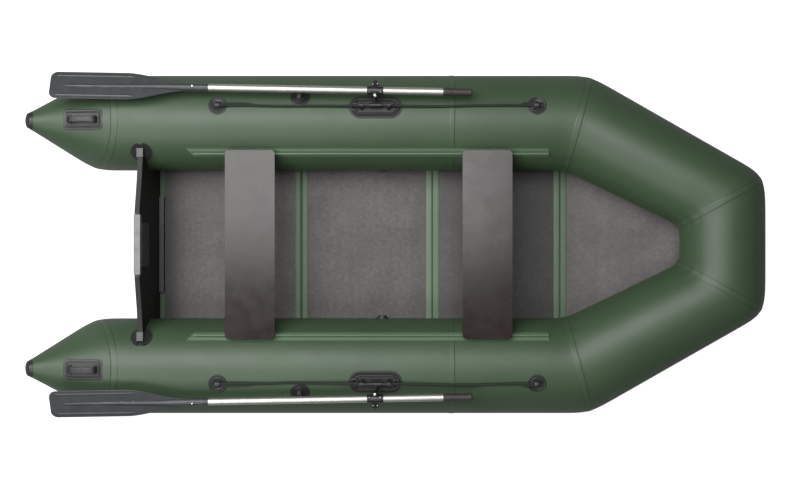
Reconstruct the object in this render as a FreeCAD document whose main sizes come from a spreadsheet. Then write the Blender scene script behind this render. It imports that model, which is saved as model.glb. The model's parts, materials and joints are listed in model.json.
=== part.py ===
import FreeCAD, Part
import math
import os

import Sketcher

V = FreeCAD.Vector

# Inflatable rowing and motor boat.  Millimetres, +X to the bow, +Y to port, +Z up.
# The origin is on the floor under the middle of the hull.
#
# Driving dimensions: alias, value, what it is.
SIZES = [
    ("hull_length", "3200", "cone tips to the front of the bow tube"),
    ("hull_width", "1480", "over both side tubes"),
    ("tube_dia", "415", "side tube diameter"),
    ("bow_tube_dia", "362", "bow tube diameter"),
    ("bow_rise", "110", "height of the bow tube's axis above the side tubes' axes"),
    ("bow_half", "187", "half length of the bow tube on its axis"),
    ("quarter_run", "612", "fore and aft length of a bow quarter on its axis"),
    ("ring_seam_x", "250", "ring seam between the aft and forward lengths of side tube"),
    ("cone_run", "304", "fore and aft length of a stern cone on its axis, cap included"),
    ("cone_rise", "135", "height of a cone's tip above the tube's axis"),
    ("cone_tilt", "29", "lean of the cone's seam, top forward, degrees"),
    ("cap_radius", "33", "rubber cap on a cone's tip"),
    ("skin_bottom", "44", "height of the bottom fabric's underside"),
    ("skin_wall", "4", "bottom fabric thickness"),
    ("board_wall", "9", "floor board thickness"),
    ("board_half", "379", "half width of the floor boards"),
    ("floor_aft_x", "-1031", "aft edge of the floor boards"),
    ("strip_width", "51", "hinge strip between two floor boards"),
    ("strip_aft_x", "-441", "aft edge of the first hinge strip"),
    ("strip_mid_x", "150", "aft edge of the second hinge strip"),
    ("strip_bow_x", "724", "aft edge of the third hinge strip"),
    ("bow_floor_angle", "10", "slope of the bow board, degrees"),
    ("bow_board_run", "506", "length of the bow board"),
    ("cleat_depth", "20", "batten at the transom's foot, fore and aft"),
    ("cleat_half", "214", "half length of the batten"),
    ("cleat_height", "30", "height of the batten"),
    ("transom_x", "-1053", "inner face of the transom at its foot"),
    ("transom_wall", "21", "transom thickness"),
    ("transom_lean", "2.7", "lean of the transom, degrees"),
    ("transom_top", "448", "height of the transom's middle"),
    ("transom_flat", "140", "half width of the level part of the top edge"),
    ("horn_half", "408", "half width over the transom's horns"),
    ("horn_length", "42", "level length of the top edge at each horn"),
    ("horn_top", "392", "height of the top edge at the horns"),
    ("cap_half", "127", "half width of the transom's edge cap"),
    ("cap_wall", "3", "wall of the edge cap"),
    ("cap_drop", "24", "height of the edge cap's sides"),
    ("plate_outer_half", "105", "half width of the outer motor plate"),
    ("plate_outer_height", "190", "height of the outer motor plate"),
    ("plate_outer_wall", "9", "thickness of the outer motor plate"),
    ("plate_inner_half", "93", "half width of the inner motor plate"),
    ("plate_inner_height", "130", "height of the inner motor plate"),
    ("plate_inner_wall", "6", "thickness of the inner motor plate"),
    ("holder_radius", "46", "transom holder disc"),
    ("holder_angle", "41", "place of the holder round the tube, degrees inboard of the crown"),
    ("rail_angle", "41.8", "place of a seat rail round the tube, degrees inboard of the crown"),
    ("rail_width", "45", "width of a seat rail's strip"),
    ("rail_aft_x", "-885", "aft end of the seat rails"),
    ("rail_fore_x", "665", "forward end of the seat rails"),
    ("bulb_radius", "4.5", "bead along a seat rail"),
    ("seat_length", "805", "seat board across the boat"),
    ("seat_depth", "212", "seat board fore and aft"),
    ("seat_wall", "12", "seat board thickness"),
    ("seat_top", "402", "height of the seat boards"),
    ("seat_corner", "18", "corner radius of the seat boards"),
    ("aft_seat_x", "-611", "middle of the aft seat"),
    ("fore_seat_x", "401", "middle of the forward seat"),
    ("eye_radius", "40", "grab line eye disc"),
    ("eye_angle", "16.5", "place of the grab line eyes, degrees outboard of the crown"),
    ("eye_aft_x", "-747", "aft grab line eyes"),
    ("eye_fore_x", "611", "forward grab line eyes"),
    ("rope_dia", "11", "grab line diameter"),
    ("lock_x", "-76", "middle of the oarlock base"),
    ("lock_length", "226", "length of the oarlock base"),
    ("lock_width", "98", "width of the oarlock base"),
    ("lock_angle", "14.4", "place of the oarlock base, degrees outboard of the crown"),
    ("bar_height", "26", "oarlock bar above the tube's surface"),
    ("bar_radius", "5", "oarlock bar"),
    ("pin_radius", "5", "oarlock swivel pin"),
    ("shaft_dia", "32", "oar shaft"),
    ("shaft_y", "649.4", "oar shaft's axis at the oarlock, from the middle of the boat"),
    ("shaft_z", "458.5", "height of the oar shaft's axis"),
    ("oar_toe", "1.15", "angle of the oar to the boat, blade outboard, degrees"),
    ("sweep_tilt", "22", "outboard lean of the oarlock's swivel pin, degrees"),
    ("oar_aft", "1374", "oarlock to the tip of the blade"),
    ("oar_fore", "410", "oarlock to the end of the grip"),
    ("blade_length", "572", "blade with its neck"),
    ("blade_neck", "165", "taper from the blade's full width to its socket"),
    ("blade_width", "126", "blade width"),
    ("blade_wall", "7", "blade thickness"),
    ("socket_length", "98", "blade's socket on the shaft"),
    ("grip_length", "124", "oar grip"),
    ("grip_dia", "36", "oar grip diameter"),
    ("rest_x", "-397", "oar rest"),
    ("rest_radius", "42", "oar rest disc"),
    ("handle_x", "-1322", "middle of the stern carry handles"),
    ("handle_length", "172", "length of a carry handle's base"),
    ("handle_width", "90", "width of a carry handle's base"),
    ("handle_gap", "26", "finger room under a carry handle"),
    ("valve_radius", "28", "air valve flange"),
    ("tow_hole", "11", "hole radius of the bow tow eye"),
    ("seat_gap", "0.3", "clearance under everything that sits on a curved tube"),
    ("run_gap", "0.35", "running clearance of pins, bars and sliders"),
]

doc = FreeCAD.newDocument("inflatable_boat")
sheet = doc.addObject("Spreadsheet::Sheet", "sizes")
for row, (alias, value, note) in enumerate(SIZES, 1):
    sheet.set(f"A{row}", note)
    sheet.set(f"B{row}", value)
    sheet.setAlias(f"B{row}", alias)
doc.recompute()

parts = []


def size(alias):
    """Value of one driving dimension."""
    return float(sheet.get(alias))


def keep(obj, label):
    """Mark an object as a finished sub-part under its node name."""
    obj.Label = label
    parts.append(obj)
    return obj


def solid(name, shape):
    """Feature with a shape worked out from the sheet's values."""
    obj = doc.addObject("Part::Feature", name)
    obj.Shape = shape
    return obj


def primitive(kind, name, formulas, place=None):
    """Part primitive whose sizes are bound to the sheet."""
    obj = doc.addObject("Part::" + kind, name)
    for prop, formula in formulas.items():
        obj.setExpression(prop, formula)
    if place is not None:
        obj.Placement = place
    return obj


def cut(name, base, tool):
    obj = doc.addObject("Part::Cut", name)
    obj.Base = base
    obj.Tool = tool
    return obj


def fuse(name, shapes):
    obj = doc.addObject("Part::MultiFuse", name)
    obj.Shapes = shapes
    return obj


def common(name, shapes):
    obj = doc.addObject("Part::MultiCommon", name)
    obj.Shapes = shapes
    return obj


def group(name, members):
    obj = doc.addObject("Part::Compound", name)
    obj.Links = members
    return obj


def mirrored(source, label):
    """Starboard twin of a port piece."""
    obj = doc.addObject("Part::Mirroring", label)
    obj.Source = source
    obj.Normal = V(0, 1, 0)
    obj.Base = V(0, 0, 0)
    return keep(obj, label)


def both_sides(obj, name):
    keep(obj, "port_" + name)
    mirrored(obj, "starboard_" + name)


def frame(origin, along, normal):
    """Placement with local X as near along as it can be and local Z on normal."""
    z = V(normal).normalize()
    x = (V(along) - z * V(along).dot(z)).normalize()
    y = z.cross(x)
    return FreeCAD.Placement(V(origin), FreeCAD.Rotation(x, y, z, "ZXY"))


def origin_plane(body, role):
    for feature in body.Origin.OriginFeatures:
        if feature.Role == role:
            return feature
    raise ValueError("no plane " + role)


def outline_body(name, corners, depth, place):
    """Body padded along its local +Z from a closed outline of (x formula, y formula) corners."""
    body = doc.addObject("PartDesign::Body", name)
    sketch = body.newObject("Sketcher::SketchObject", name + "_outline")
    sketch.AttachmentSupport = [(origin_plane(body, "XY_Plane"), "")]
    sketch.MapMode = "FlatFace"
    spots = [V(float(sheet.evalExpression(x)), float(sheet.evalExpression(y)), 0) for x, y in corners]
    count = len(spots)
    for index in range(count):
        sketch.addGeometry(Part.LineSegment(spots[index], spots[(index + 1) % count]), False)
    for index in range(count):
        sketch.addConstraint(Sketcher.Constraint("Coincident", index, 2, (index + 1) % count, 1))
    for index, (spot, formulas) in enumerate(zip(spots, corners)):
        for kind, value, formula in zip(("DistanceX", "DistanceY"), spot, formulas):
            number = sketch.addConstraint(Sketcher.Constraint(kind, -1, 1, index, 1, value))
            sketch.setExpression(f"Constraints[{number}]", formula)
    pad = body.newObject("PartDesign::Pad", name + "_pad")
    pad.Profile = sketch
    pad.setExpression("Length", depth)
    sketch.Visibility = False
    body.Placement = place
    doc.recompute()
    return body


def rounded(body, radius, pick):
    """Fillet the pad's edges that pick accepts."""
    pad = body.Tip
    edges = [f"Edge{n}" for n, edge in enumerate(pad.Shape.Edges, 1) if pick(edge)]
    fillet = body.newObject("PartDesign::Fillet", body.Name + "_corners")
    fillet.Base = (pad, edges)
    fillet.setExpression("Radius", radius)
    doc.recompute()
    return body


def upright(edge):
    """Edge along a pad's depth."""
    return abs(edge.tangentAt(edge.FirstParameter).z) > 0.99


# Places worked out from the driving dimensions.
tube_r = size("tube_dia") / 2
bow_r = size("bow_tube_dia") / 2
seat_gap = size("seat_gap")
run_gap = size("run_gap")
half_length = size("hull_length") / 2
axis_y = size("hull_width") / 2 - tube_r
bow_corner = V(half_length - bow_r, size("bow_half"), tube_r + size("bow_rise"))
side_corner = V(bow_corner.x - size("quarter_run"), axis_y, tube_r)
cone_seam = V(-half_length + size("cone_run"), axis_y, tube_r)
cap_seat = V(-half_length + size("cap_radius"), axis_y, tube_r + size("cone_rise"))
forward = V(1, 0, 0)
across = V(0, -1, 0)
quarter_way = (bow_corner - side_corner).normalize()
cone_way = (cap_seat - cone_seam).normalize()
tilt = math.radians(size("cone_tilt"))
seam_normal = V(math.cos(tilt), 0, -math.sin(tilt))
side_mitre = (forward + quarter_way).normalize()
bow_mitre = (quarter_way + across).normalize()
skin_top = size("skin_bottom") + size("skin_wall")
board_top = skin_top + size("board_wall")


def section(centre, way, normal, radius):
    """Outline where a round tube running along way is cut by a plane."""
    normal = V(normal).normalize()
    slant = abs(V(way).normalize().dot(normal))
    place = frame(centre, way, normal) if slant < 0.9999 else frame(centre, V(0, 0, 1), normal)
    ellipse = Part.Ellipse(V(0, 0, 0), radius / slant, radius)
    wire = Part.Wire([ellipse.toShape()])
    wire.Placement = place
    return wire


def tube_between(first, second):
    return Part.makeLoft([first, second], True, True)


def cone_shape(grow):
    """Stern cone from its tilted seam to the seat of its cap."""
    root = section(cone_seam, forward, seam_normal, tube_r + grow)
    end = section(cap_seat, cone_way, cone_way, size("cap_radius") + grow)
    return tube_between(root, end)


def quarter_shape(grow):
    """Bow quarter, a taper between its two mitres."""
    root = section(side_corner, forward, side_mitre, tube_r + grow)
    end = section(bow_corner, across, bow_mitre, bow_r + grow)
    return tube_between(root, end)


def bow_shape(grow):
    """Bow tube between the two mitres."""
    twin = V(bow_corner.x, -bow_corner.y, bow_corner.z)
    twin_normal = V(bow_mitre.x, -bow_mitre.y, bow_mitre.z)
    return tube_between(
        section(bow_corner, across, bow_mitre, bow_r + grow), section(twin, across, twin_normal, bow_r + grow)
    )


def side_shape(start, start_normal, end, end_normal, grow):
    """Length of side tube between two planes."""
    return tube_between(
        section(start, forward, start_normal, tube_r + grow), section(end, forward, end_normal, tube_r + grow)
    )


# Buoyancy tubes.
ring_seam = V(size("ring_seam_x"), axis_y, tube_r)
both_sides(solid("side_aft", side_shape(cone_seam, seam_normal, ring_seam, forward, 0)), "side_tube_aft")
side_fore = solid("side_fore", side_shape(ring_seam, forward, side_corner, side_mitre, 0))
both_sides(side_fore, "side_tube_forward")
both_sides(solid("quarter", quarter_shape(0)), "bow_quarter")
both_sides(solid("cone", cone_shape(0)), "stern_cone")
keep(solid("bow", bow_shape(0)), "bow_tube")
cap_place = frame(cap_seat, V(0, 1, 0), cone_way)
cap = primitive("Sphere", "cap", {"Radius": "sizes.cap_radius", "Angle1": "0", "Angle2": "90"}, cap_place)
both_sides(cap, "cone_cap")

# Room that the tubes take from their neighbours, clearance included.
port_room = solid("port_room", side_shape(cone_seam, seam_normal, side_corner, side_mitre, seat_gap))
port_quarter_room = solid("port_quarter_room", quarter_shape(seat_gap))
cone_room = solid("cone_room", cone_shape(seat_gap))
bow_room = solid("bow_room", bow_shape(seat_gap))
port_tubes = fuse("port_tubes", [port_room, port_quarter_room, cone_room])
starboard_tubes = doc.addObject("Part::Mirroring", "starboard_tubes")
starboard_tubes.Source = port_tubes
starboard_tubes.Normal = V(0, 1, 0)
tubes = fuse("tubes", [port_tubes, starboard_tubes, bow_room])

# Bottom fabric: level between the side tubes, then rising to the bow tube.
level_start = size("transom_x") - size("transom_wall")
hinge_x = size("strip_bow_x") + size("strip_width")
slope = math.radians(size("bow_floor_angle"))
skin_half = axis_y - math.sqrt(tube_r ** 2 - (tube_r - size("skin_bottom")) ** 2) + size("skin_wall")


def floor_plate(start, end, half, bottom, top):
    """Plate that lies on the floor's line, level to the last hinge and then sloping."""
    def side(height):
        low = V(start, -half, height)
        if end <= hinge_x:
            return [low, V(end, -half, height)]
        rise = (end - hinge_x) * math.tan(slope)
        high = V(end, -half, height + rise)
        return [low, high] if start >= hinge_x else [low, V(hinge_x, -half, height), high]

    corners = side(bottom) + side(top)[::-1]
    face = Part.Face(Part.makePolygon(corners + corners[:1]))
    return face.extrude(V(0, 2 * half, 0))


inside_plan = [
    V(level_start, axis_y, 0), V(side_corner.x, axis_y, 0), V(bow_corner.x, bow_corner.y, 0),
    V(bow_corner.x, -bow_corner.y, 0), V(side_corner.x, -axis_y, 0), V(level_start, -axis_y, 0),
]
inside = solid(
    "inside", Part.Face(Part.makePolygon(inside_plan + inside_plan[:1])).extrude(V(0, 0, bow_corner.z))
)
skin_plate = floor_plate(level_start, bow_corner.x, skin_half, size("skin_bottom"), skin_top)
skin_blank = common("skin_blank", [solid("skin_plate", skin_plate), inside])
keep(cut("skin", skin_blank, tubes), "bottom_skin")

# Floor boards and the strips they fold on.
strips = [size("strip_aft_x"), size("strip_mid_x"), size("strip_bow_x")]
board_corners = [
    ("floor_board_aft", "sizes.floor_aft_x", "sizes.strip_aft_x"),
    ("floor_board_mid_aft", "sizes.strip_aft_x + sizes.strip_width", "sizes.strip_mid_x"),
    ("floor_board_mid_forward", "sizes.strip_mid_x + sizes.strip_width", "sizes.strip_bow_x"),
]
for name, low, high in board_corners:
    outline = [
        (low, "-sizes.board_half"),
        (high, "-sizes.board_half"),
        (high, "sizes.board_half"),
        (low, "sizes.board_half"),
    ]
    place = FreeCAD.Placement(V(0, 0, skin_top), FreeCAD.Rotation())
    board = outline_body(name, outline, "sizes.board_wall", place)
    keep(rounded(board, "6", upright), name)

bow_board_end = hinge_x + size("bow_board_run")
bow_plate = floor_plate(hinge_x, bow_board_end, size("board_half"), skin_top, board_top)
bow_blank = common("bow_board_blank", [solid("bow_plate", bow_plate), inside])
keep(cut("bow_board", bow_blank, tubes), "floor_board_bow")
strip_group = []
for index, strip_x in enumerate(strips):
    strip = primitive("Box", f"strip_{index}", {
        "Length": "sizes.strip_width", "Width": "sizes.board_half * 2", "Height": "sizes.board_wall",
    }, FreeCAD.Placement(V(strip_x, -size("board_half"), skin_top), FreeCAD.Rotation()))
    strip_group.append(strip)
keep(group("strips", strip_group), "floor_hinge_strips")
cleat = primitive("Box", "cleat", {
    "Length": "sizes.cleat_depth", "Width": "sizes.cleat_half * 2", "Height": "sizes.cleat_height",
}, FreeCAD.Placement(V(size("transom_x"), -size("cleat_half"), skin_top), FreeCAD.Rotation()))
keep(cleat, "floor_cleat")

# Transom.  Its local X runs to port, its local Y up its leaning inner face, its local Z aft.
lean = math.radians(size("transom_lean"))
up_transom = V(-math.sin(lean), 0, math.cos(lean))
aft_transom = V(-math.cos(lean), 0, -math.sin(lean))
transom_foot = V(size("transom_x"), 0, skin_top)
transom_place = frame(transom_foot, V(0, 1, 0), aft_transom)
if transom_place.Rotation.multVec(V(0, 1, 0)).z < 0:
    transom_place = frame(transom_foot, V(0, -1, 0), aft_transom)
top = "(sizes.transom_top - sizes.skin_bottom - sizes.skin_wall)"
horn = "(sizes.horn_top - sizes.skin_bottom - sizes.skin_wall)"
horn_in = "(sizes.horn_half - sizes.horn_length)"
shoulder = "(sizes.horn_half + sizes.transom_flat) / 2"
shoulder_top = f"{horn} + (sizes.transom_top - sizes.horn_top) * 0.3"
half_outline = [
    ("sizes.horn_half", "1"), ("sizes.horn_half", horn), (horn_in, horn), (shoulder, shoulder_top),
    ("sizes.transom_flat", top),
]
transom_outline = half_outline + [(f"-({x})", y) for x, y in reversed(half_outline)]
transom_blank = outline_body("transom_blank", transom_outline, "sizes.transom_wall", transom_place)
keep(cut("transom", transom_blank, tubes), "transom_board")


def on_transom(x, y, z):
    """Point in the transom's local frame: to port, up, aft."""
    return transom_foot + V(0, x, 0) + up_transom * y + aft_transom * z


def transom_shape(half, height, wall, x, y, z):
    """Box 2 * half to port, height up and wall aft, from the local corner (x, y, z)."""
    low = Part.makePolygon([
        on_transom(x, y, z), on_transom(x + 2 * half, y, z), on_transom(x + 2 * half, y + height, z),
        on_transom(x, y + height, z), on_transom(x, y, z),
    ])
    return Part.Face(low).extrude(aft_transom * wall)


def transom_box(name, half, height, wall, x, y, z):
    """Block on the transom, its local corner at (x, y, z)."""
    return solid(name, transom_shape(half, height, wall, x, y, z))


rise = size("transom_top") - skin_top
fit = 0.2
cap_outside = transom_box(
    "cap_outside", size("cap_half"), size("cap_drop") + size("cap_wall"),
    size("transom_wall") + 2 * size("cap_wall") + 2 * fit,
    -size("cap_half"), rise - size("cap_drop"), -size("cap_wall") - fit,
)
cap_inside = transom_box(
    "cap_inside", size("cap_half") + 1, size("cap_drop") + 1 + fit, size("transom_wall") + 2 * fit,
    -size("cap_half") - 1, rise - size("cap_drop") - 1, -fit,
)
keep(cut("edge_cap", cap_outside, cap_inside), "transom_cap")
plate_top = rise - size("cap_drop") - fit
outer = transom_box(
    "outer_plate", size("plate_outer_half"), size("plate_outer_height"), size("plate_outer_wall"),
    -size("plate_outer_half"), plate_top - size("plate_outer_height"), size("transom_wall"),
)
keep(outer, "motor_plate_outer")
inner = transom_box(
    "inner_plate", size("plate_inner_half"), size("plate_inner_height"), size("plate_inner_wall"),
    -size("plate_inner_half"), plate_top - size("plate_inner_height"), -size("plate_inner_wall"),
)
keep(inner, "motor_plate_inner")


def tube_frame(x, degrees):
    """Frame on the port tube's surface: local Z outward, local X forward.  Positive degrees are outboard."""
    turn = math.radians(degrees)
    normal = V(0, math.sin(turn), math.cos(turn))
    return frame(V(x, axis_y, tube_r) + normal * tube_r, forward, normal)


def local(place, x, y, z):
    return place.multVec(V(x, y, z))


def disc(place, radius, low, high):
    """Round block on a tube frame, between two heights above the surface."""
    way = place.Rotation.multVec(V(0, 0, 1))
    return Part.makeCylinder(radius, high - low, local(place, 0, 0, low), way)


def block(place, x0, x1, y0, y1, z0, z1):
    shape = Part.makeBox(x1 - x0, y1 - y0, z1 - z0)
    shape.Placement = place.multiply(FreeCAD.Placement(V(x0, y0, z0), FreeCAD.Rotation()))
    return shape


def slot_block(place, length, width, z0, z1):
    """Block with round ends, along local X."""
    reach = (length - width) / 2
    shape = block(place, -reach, reach, -width / 2, width / 2, z0, z1)
    for end in (-reach, reach):
        way = place.Rotation.multVec(V(0, 0, 1))
        shape = shape.fuse(Part.makeCylinder(width / 2, z1 - z0, local(place, end, 0, z0), way))
    return shape.removeSplitter()


def rod(start, end, radius):
    return Part.makeCylinder(radius, (end - start).Length, start, end - start)


port_side = port_room.Shape
cone_side = cone_room.Shape

# Transom holders on the tubes, with a slot that takes the horn, and the horns' end caps.
horn_rise = size("horn_top") - skin_top
end_half = 19
end_drop = 12
holder_frame = tube_frame(size("transom_x") - size("transom_wall") / 2 - 15, -size("holder_angle"))
depth = tube_r - math.sqrt(tube_r ** 2 - size("holder_radius") ** 2) + 2
holder = disc(holder_frame, size("holder_radius"), -depth, 4)
holder = holder.fuse(disc(holder_frame, size("holder_radius") * 0.72, -depth, 9)).cut(port_side)
horn_room = transom_shape(
    size("horn_half") + 30, horn_rise + 60, size("transom_wall") + 2 * fit, -size("horn_half") - 30, 0, -fit
)
holder = solid("holder", holder.cut(horn_room))
both_sides(holder, "transom_holder")
end_cap = transom_box(
    "end_cap_blank", end_half, end_drop + 8, size("transom_wall") + 6,
    size("horn_half") + 3 - 2 * end_half, horn_rise - end_drop, -3,
)
end_room = transom_box(
    "end_cap_room", end_half, end_drop + fit + 1, size("transom_wall") + 2 * fit,
    size("horn_half") + fit - 2 * end_half, horn_rise - end_drop - 1, -fit,
)
end_hollow = cut("end_cap_hollow", end_cap, end_room)
both_sides(cut("end_cap", end_hollow, fuse("end_cap_neighbours", [holder, port_tubes])), "transom_end_cap")

# Seat rails: a strip on the tube with a bead along it.
rail_spread = size("rail_width") / 2 / tube_r
rail_frame = tube_frame(0, -size("rail_angle"))
rail_span = size("rail_fore_x") - size("rail_aft_x")
strip_out = Part.makeCylinder(
    tube_r + seat_gap + 2.5, rail_span, V(size("rail_aft_x"), axis_y, tube_r), forward
)
strip_in = Part.makeCylinder(tube_r + seat_gap, rail_span, V(size("rail_aft_x"), axis_y, tube_r), forward)
half_strip = tube_r * math.sin(rail_spread)
strip_zone = block(
    rail_frame, size("rail_aft_x"), size("rail_fore_x"), -half_strip, half_strip, -20, 20
)
bulb_h = 9.5
web = block(rail_frame, size("rail_aft_x"), size("rail_fore_x"), -1.5, 1.5, 1.5, bulb_h)
bulb = rod(
    local(rail_frame, size("rail_aft_x"), 0, bulb_h), local(rail_frame, size("rail_fore_x"), 0, bulb_h),
    size("bulb_radius")
)
rail = strip_out.cut(strip_in).common(strip_zone).fuse([web, bulb]).removeSplitter()
both_sides(solid("rail", rail), "seat_rail")

# Seats: a board on two grooved sliders that hold the rails' beads.
seat_bottom = size("seat_top") - size("seat_wall")
slider_low = 3.6
slider_high = 19


def slider(x):
    """Grooved slider under one end of a seat, on the port rail."""
    half = size("seat_depth") / 2 - 8
    place = tube_frame(x, -size("rail_angle"))
    low = block(place, -half, half, -12, 12, slider_low, slider_high)
    foot = local(place, 0, 0, slider_high - 5)
    riser = Part.makeBox(2 * half, 26, seat_bottom - foot.z, V(x - half, foot.y - 13, foot.z))
    body = low.fuse(riser)
    groove = rod(
        local(place, -half - 1, 0, bulb_h), local(place, half + 1, 0, bulb_h), size("bulb_radius") + run_gap
    )
    mouth = block(place, -half - 1, half + 1, -1.5 - run_gap, 1.5 + run_gap, slider_low - 1, bulb_h)
    return body.cut(groove.fuse(mouth)).removeSplitter()


for name, alias in (("aft_seat", "aft_seat_x"), ("forward_seat", "fore_seat_x")):
    corner_pairs = [
        ("-sizes.seat_depth / 2", "-sizes.seat_length / 2"),
        ("sizes.seat_depth / 2", "-sizes.seat_length / 2"),
        ("sizes.seat_depth / 2", "sizes.seat_length / 2"),
        ("-sizes.seat_depth / 2", "sizes.seat_length / 2"),
    ]
    place = FreeCAD.Placement(V(size(alias), 0, seat_bottom), FreeCAD.Rotation())
    board = outline_body(name + "_board", corner_pairs, "sizes.seat_wall", place)
    keep(rounded(board, "sizes.seat_corner", upright), name + "_board")
    port_slider = solid(name + "_slider", slider(size(alias)))
    twin = doc.addObject("Part::Mirroring", name + "_slider_twin")
    twin.Source = port_slider
    twin.Normal = V(0, 1, 0)
    keep(group(name + "_slider_pair", [port_slider, twin]), name + "_sliders")

# Grab line eyes: a disc with a lug bored fore and aft.
rope_r = size("rope_dia") / 2
rope_h = rope_r + 4
eye_depth = tube_r - math.sqrt(tube_r ** 2 - size("eye_radius") ** 2) + 2
lug_half = 14


def eye(x):
    place = tube_frame(x, size("eye_angle"))
    shape = disc(place, size("eye_radius"), -eye_depth, 3)
    shape = shape.fuse(disc(place, size("eye_radius") * 0.72, -eye_depth, 6))
    shape = shape.fuse(block(place, -lug_half, lug_half, -11, 11, 2, rope_h + rope_r + 4))
    return shape.cut(port_side).removeSplitter()


both_sides(solid("eye_aft", eye(size("eye_aft_x"))), "grab_line_eye_aft")
both_sides(solid("eye_fore", eye(size("eye_fore_x"))), "grab_line_eye_forward")

# Oarlock base: a round-ended saddle with a recess, two lugs and the bar between them.
lock_frame = tube_frame(size("lock_x"), size("lock_angle"))
lock_depth = tube_r - math.sqrt(tube_r ** 2 - (size("lock_width") / 2) ** 2) + 2
lock_rim = 9
lock_floor = 5
lug_x = 57
lug_wall = 14
lug_r = 12
base = slot_block(lock_frame, size("lock_length"), size("lock_width"), -lock_depth, lock_rim)
recess = slot_block(lock_frame, size("lock_length") - 20, size("lock_width") - 20, lock_floor, lock_rim + 1)
base = base.cut(recess)
for end in (-lug_x, lug_x):
    lug_low = end - lug_wall / 2
    lug_high = end + lug_wall / 2
    lug = block(lock_frame, lug_low, lug_high, -lug_r, lug_r, lock_floor - 1, size("bar_height"))
    eye_round = rod(
        local(lock_frame, lug_low, 0, size("bar_height")),
        local(lock_frame, lug_high, 0, size("bar_height")), lug_r
    )
    base = base.fuse([lug, eye_round])
bar = rod(
    local(lock_frame, -lug_x, 0, size("bar_height")), local(lock_frame, lug_x, 0, size("bar_height")),
    size("bar_radius")
)
base = base.fuse(bar).cut(port_side).removeSplitter()
both_sides(solid("lock_base", base), "oarlock_base")

# Oarlock swivel: a sleeve on the bar with an arm out to the pin that the oar turns on.
bar_centre = local(lock_frame, 0, 0, size("bar_height"))
pin_turn = math.radians(size("sweep_tilt"))
pin_way = V(0, math.sin(pin_turn), math.cos(pin_turn))
out_way = V(0, math.cos(pin_turn), -math.sin(pin_turn))
shaft_centre = V(size("lock_x"), size("shaft_y"), size("shaft_z"))
shaft_r = size("shaft_dia") / 2
clamp_wall = 3.5
pin_offset = shaft_r + clamp_wall + size("pin_radius") + 3
pin_point = shaft_centre - out_way * pin_offset
pin_frame = frame(pin_point, forward, pin_way)
sleeve_half = 26
eye_half = 15
arm_top = -eye_half - 0.5
arm_low = arm_top - 9
sleeve = rod(bar_centre - forward * sleeve_half, bar_centre + forward * sleeve_half, 10)
arm = rod(local(pin_frame, 0, 0, arm_low), local(pin_frame, 0, 0, arm_top), 11)
bridge_way = local(pin_frame, 0, 0, (arm_low + arm_top) / 2) - bar_centre
bridge_frame = frame(bar_centre, forward, forward.cross(bridge_way))
bridge_side = bridge_frame.Rotation.multVec(V(0, 1, 0)).dot(bridge_way)
bridge_y = sorted((0, bridge_side))
bridge = block(bridge_frame, -11, 11, bridge_y[0], bridge_y[1], -4.5, 4.5)
pin = rod(local(pin_frame, 0, 0, arm_low), local(pin_frame, 0, 0, eye_half + 8), size("pin_radius"))
nut = Part.makeCylinder(8, 6, local(pin_frame, 0, 0, eye_half + 0.5), pin_way)
bar_bore = rod(
    bar_centre - forward * (sleeve_half + 1), bar_centre + forward * (sleeve_half + 1),
    size("bar_radius") + run_gap
)
swivel = sleeve.fuse([arm, bridge, pin, nut]).cut(bar_bore).removeSplitter()
both_sides(solid("swivel", swivel), "oarlock_swivel")

# Clamp round the shaft, with the eye that turns on the pin and a wing nut outboard.
toe = math.radians(size("oar_toe"))
oar_way = (V(-1, 0, 0) * math.cos(toe) + out_way * math.sin(toe)).normalize()
oar_frame = frame(shaft_centre, oar_way, pin_way)
side_sign = 1 if oar_frame.Rotation.multVec(V(0, 1, 0)).dot(out_way) > 0 else -1
clamp_half = 34
ring = rod(
    shaft_centre - oar_way * clamp_half, shaft_centre + oar_way * clamp_half, shaft_r + run_gap + clamp_wall
)
pin_eye = Part.makeCylinder(
    size("pin_radius") + run_gap + 4.5, 2 * eye_half, local(pin_frame, 0, 0, -eye_half), pin_way
)
neck_y = sorted((-side_sign * pin_offset, 0))
neck = block(oar_frame, -14, 14, neck_y[0], neck_y[1], -eye_half + 4, eye_half - 4)
ear_y = sorted((side_sign * (shaft_r + 1), side_sign * (shaft_r + 24)))
ears = block(oar_frame, -14, 14, ear_y[0], ear_y[1], -7, 7)
wing_y = sorted((side_sign * (shaft_r + 24), side_sign * (shaft_r + 34)))
wing = block(oar_frame, -4, 4, wing_y[0], wing_y[1], -13, 13)
shaft_bore = rod(
    shaft_centre - oar_way * (clamp_half + 1), shaft_centre + oar_way * (clamp_half + 1), shaft_r + run_gap
)
pin_bore = Part.makeCylinder(
    size("pin_radius") + run_gap, 2 * eye_half + 2, local(pin_frame, 0, 0, -eye_half - 1), pin_way
)
clamp = ring.fuse([pin_eye, neck, ears, wing]).cut(shaft_bore.fuse(pin_bore)).removeSplitter()
both_sides(solid("clamp", clamp), "oar_clamp")

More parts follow.
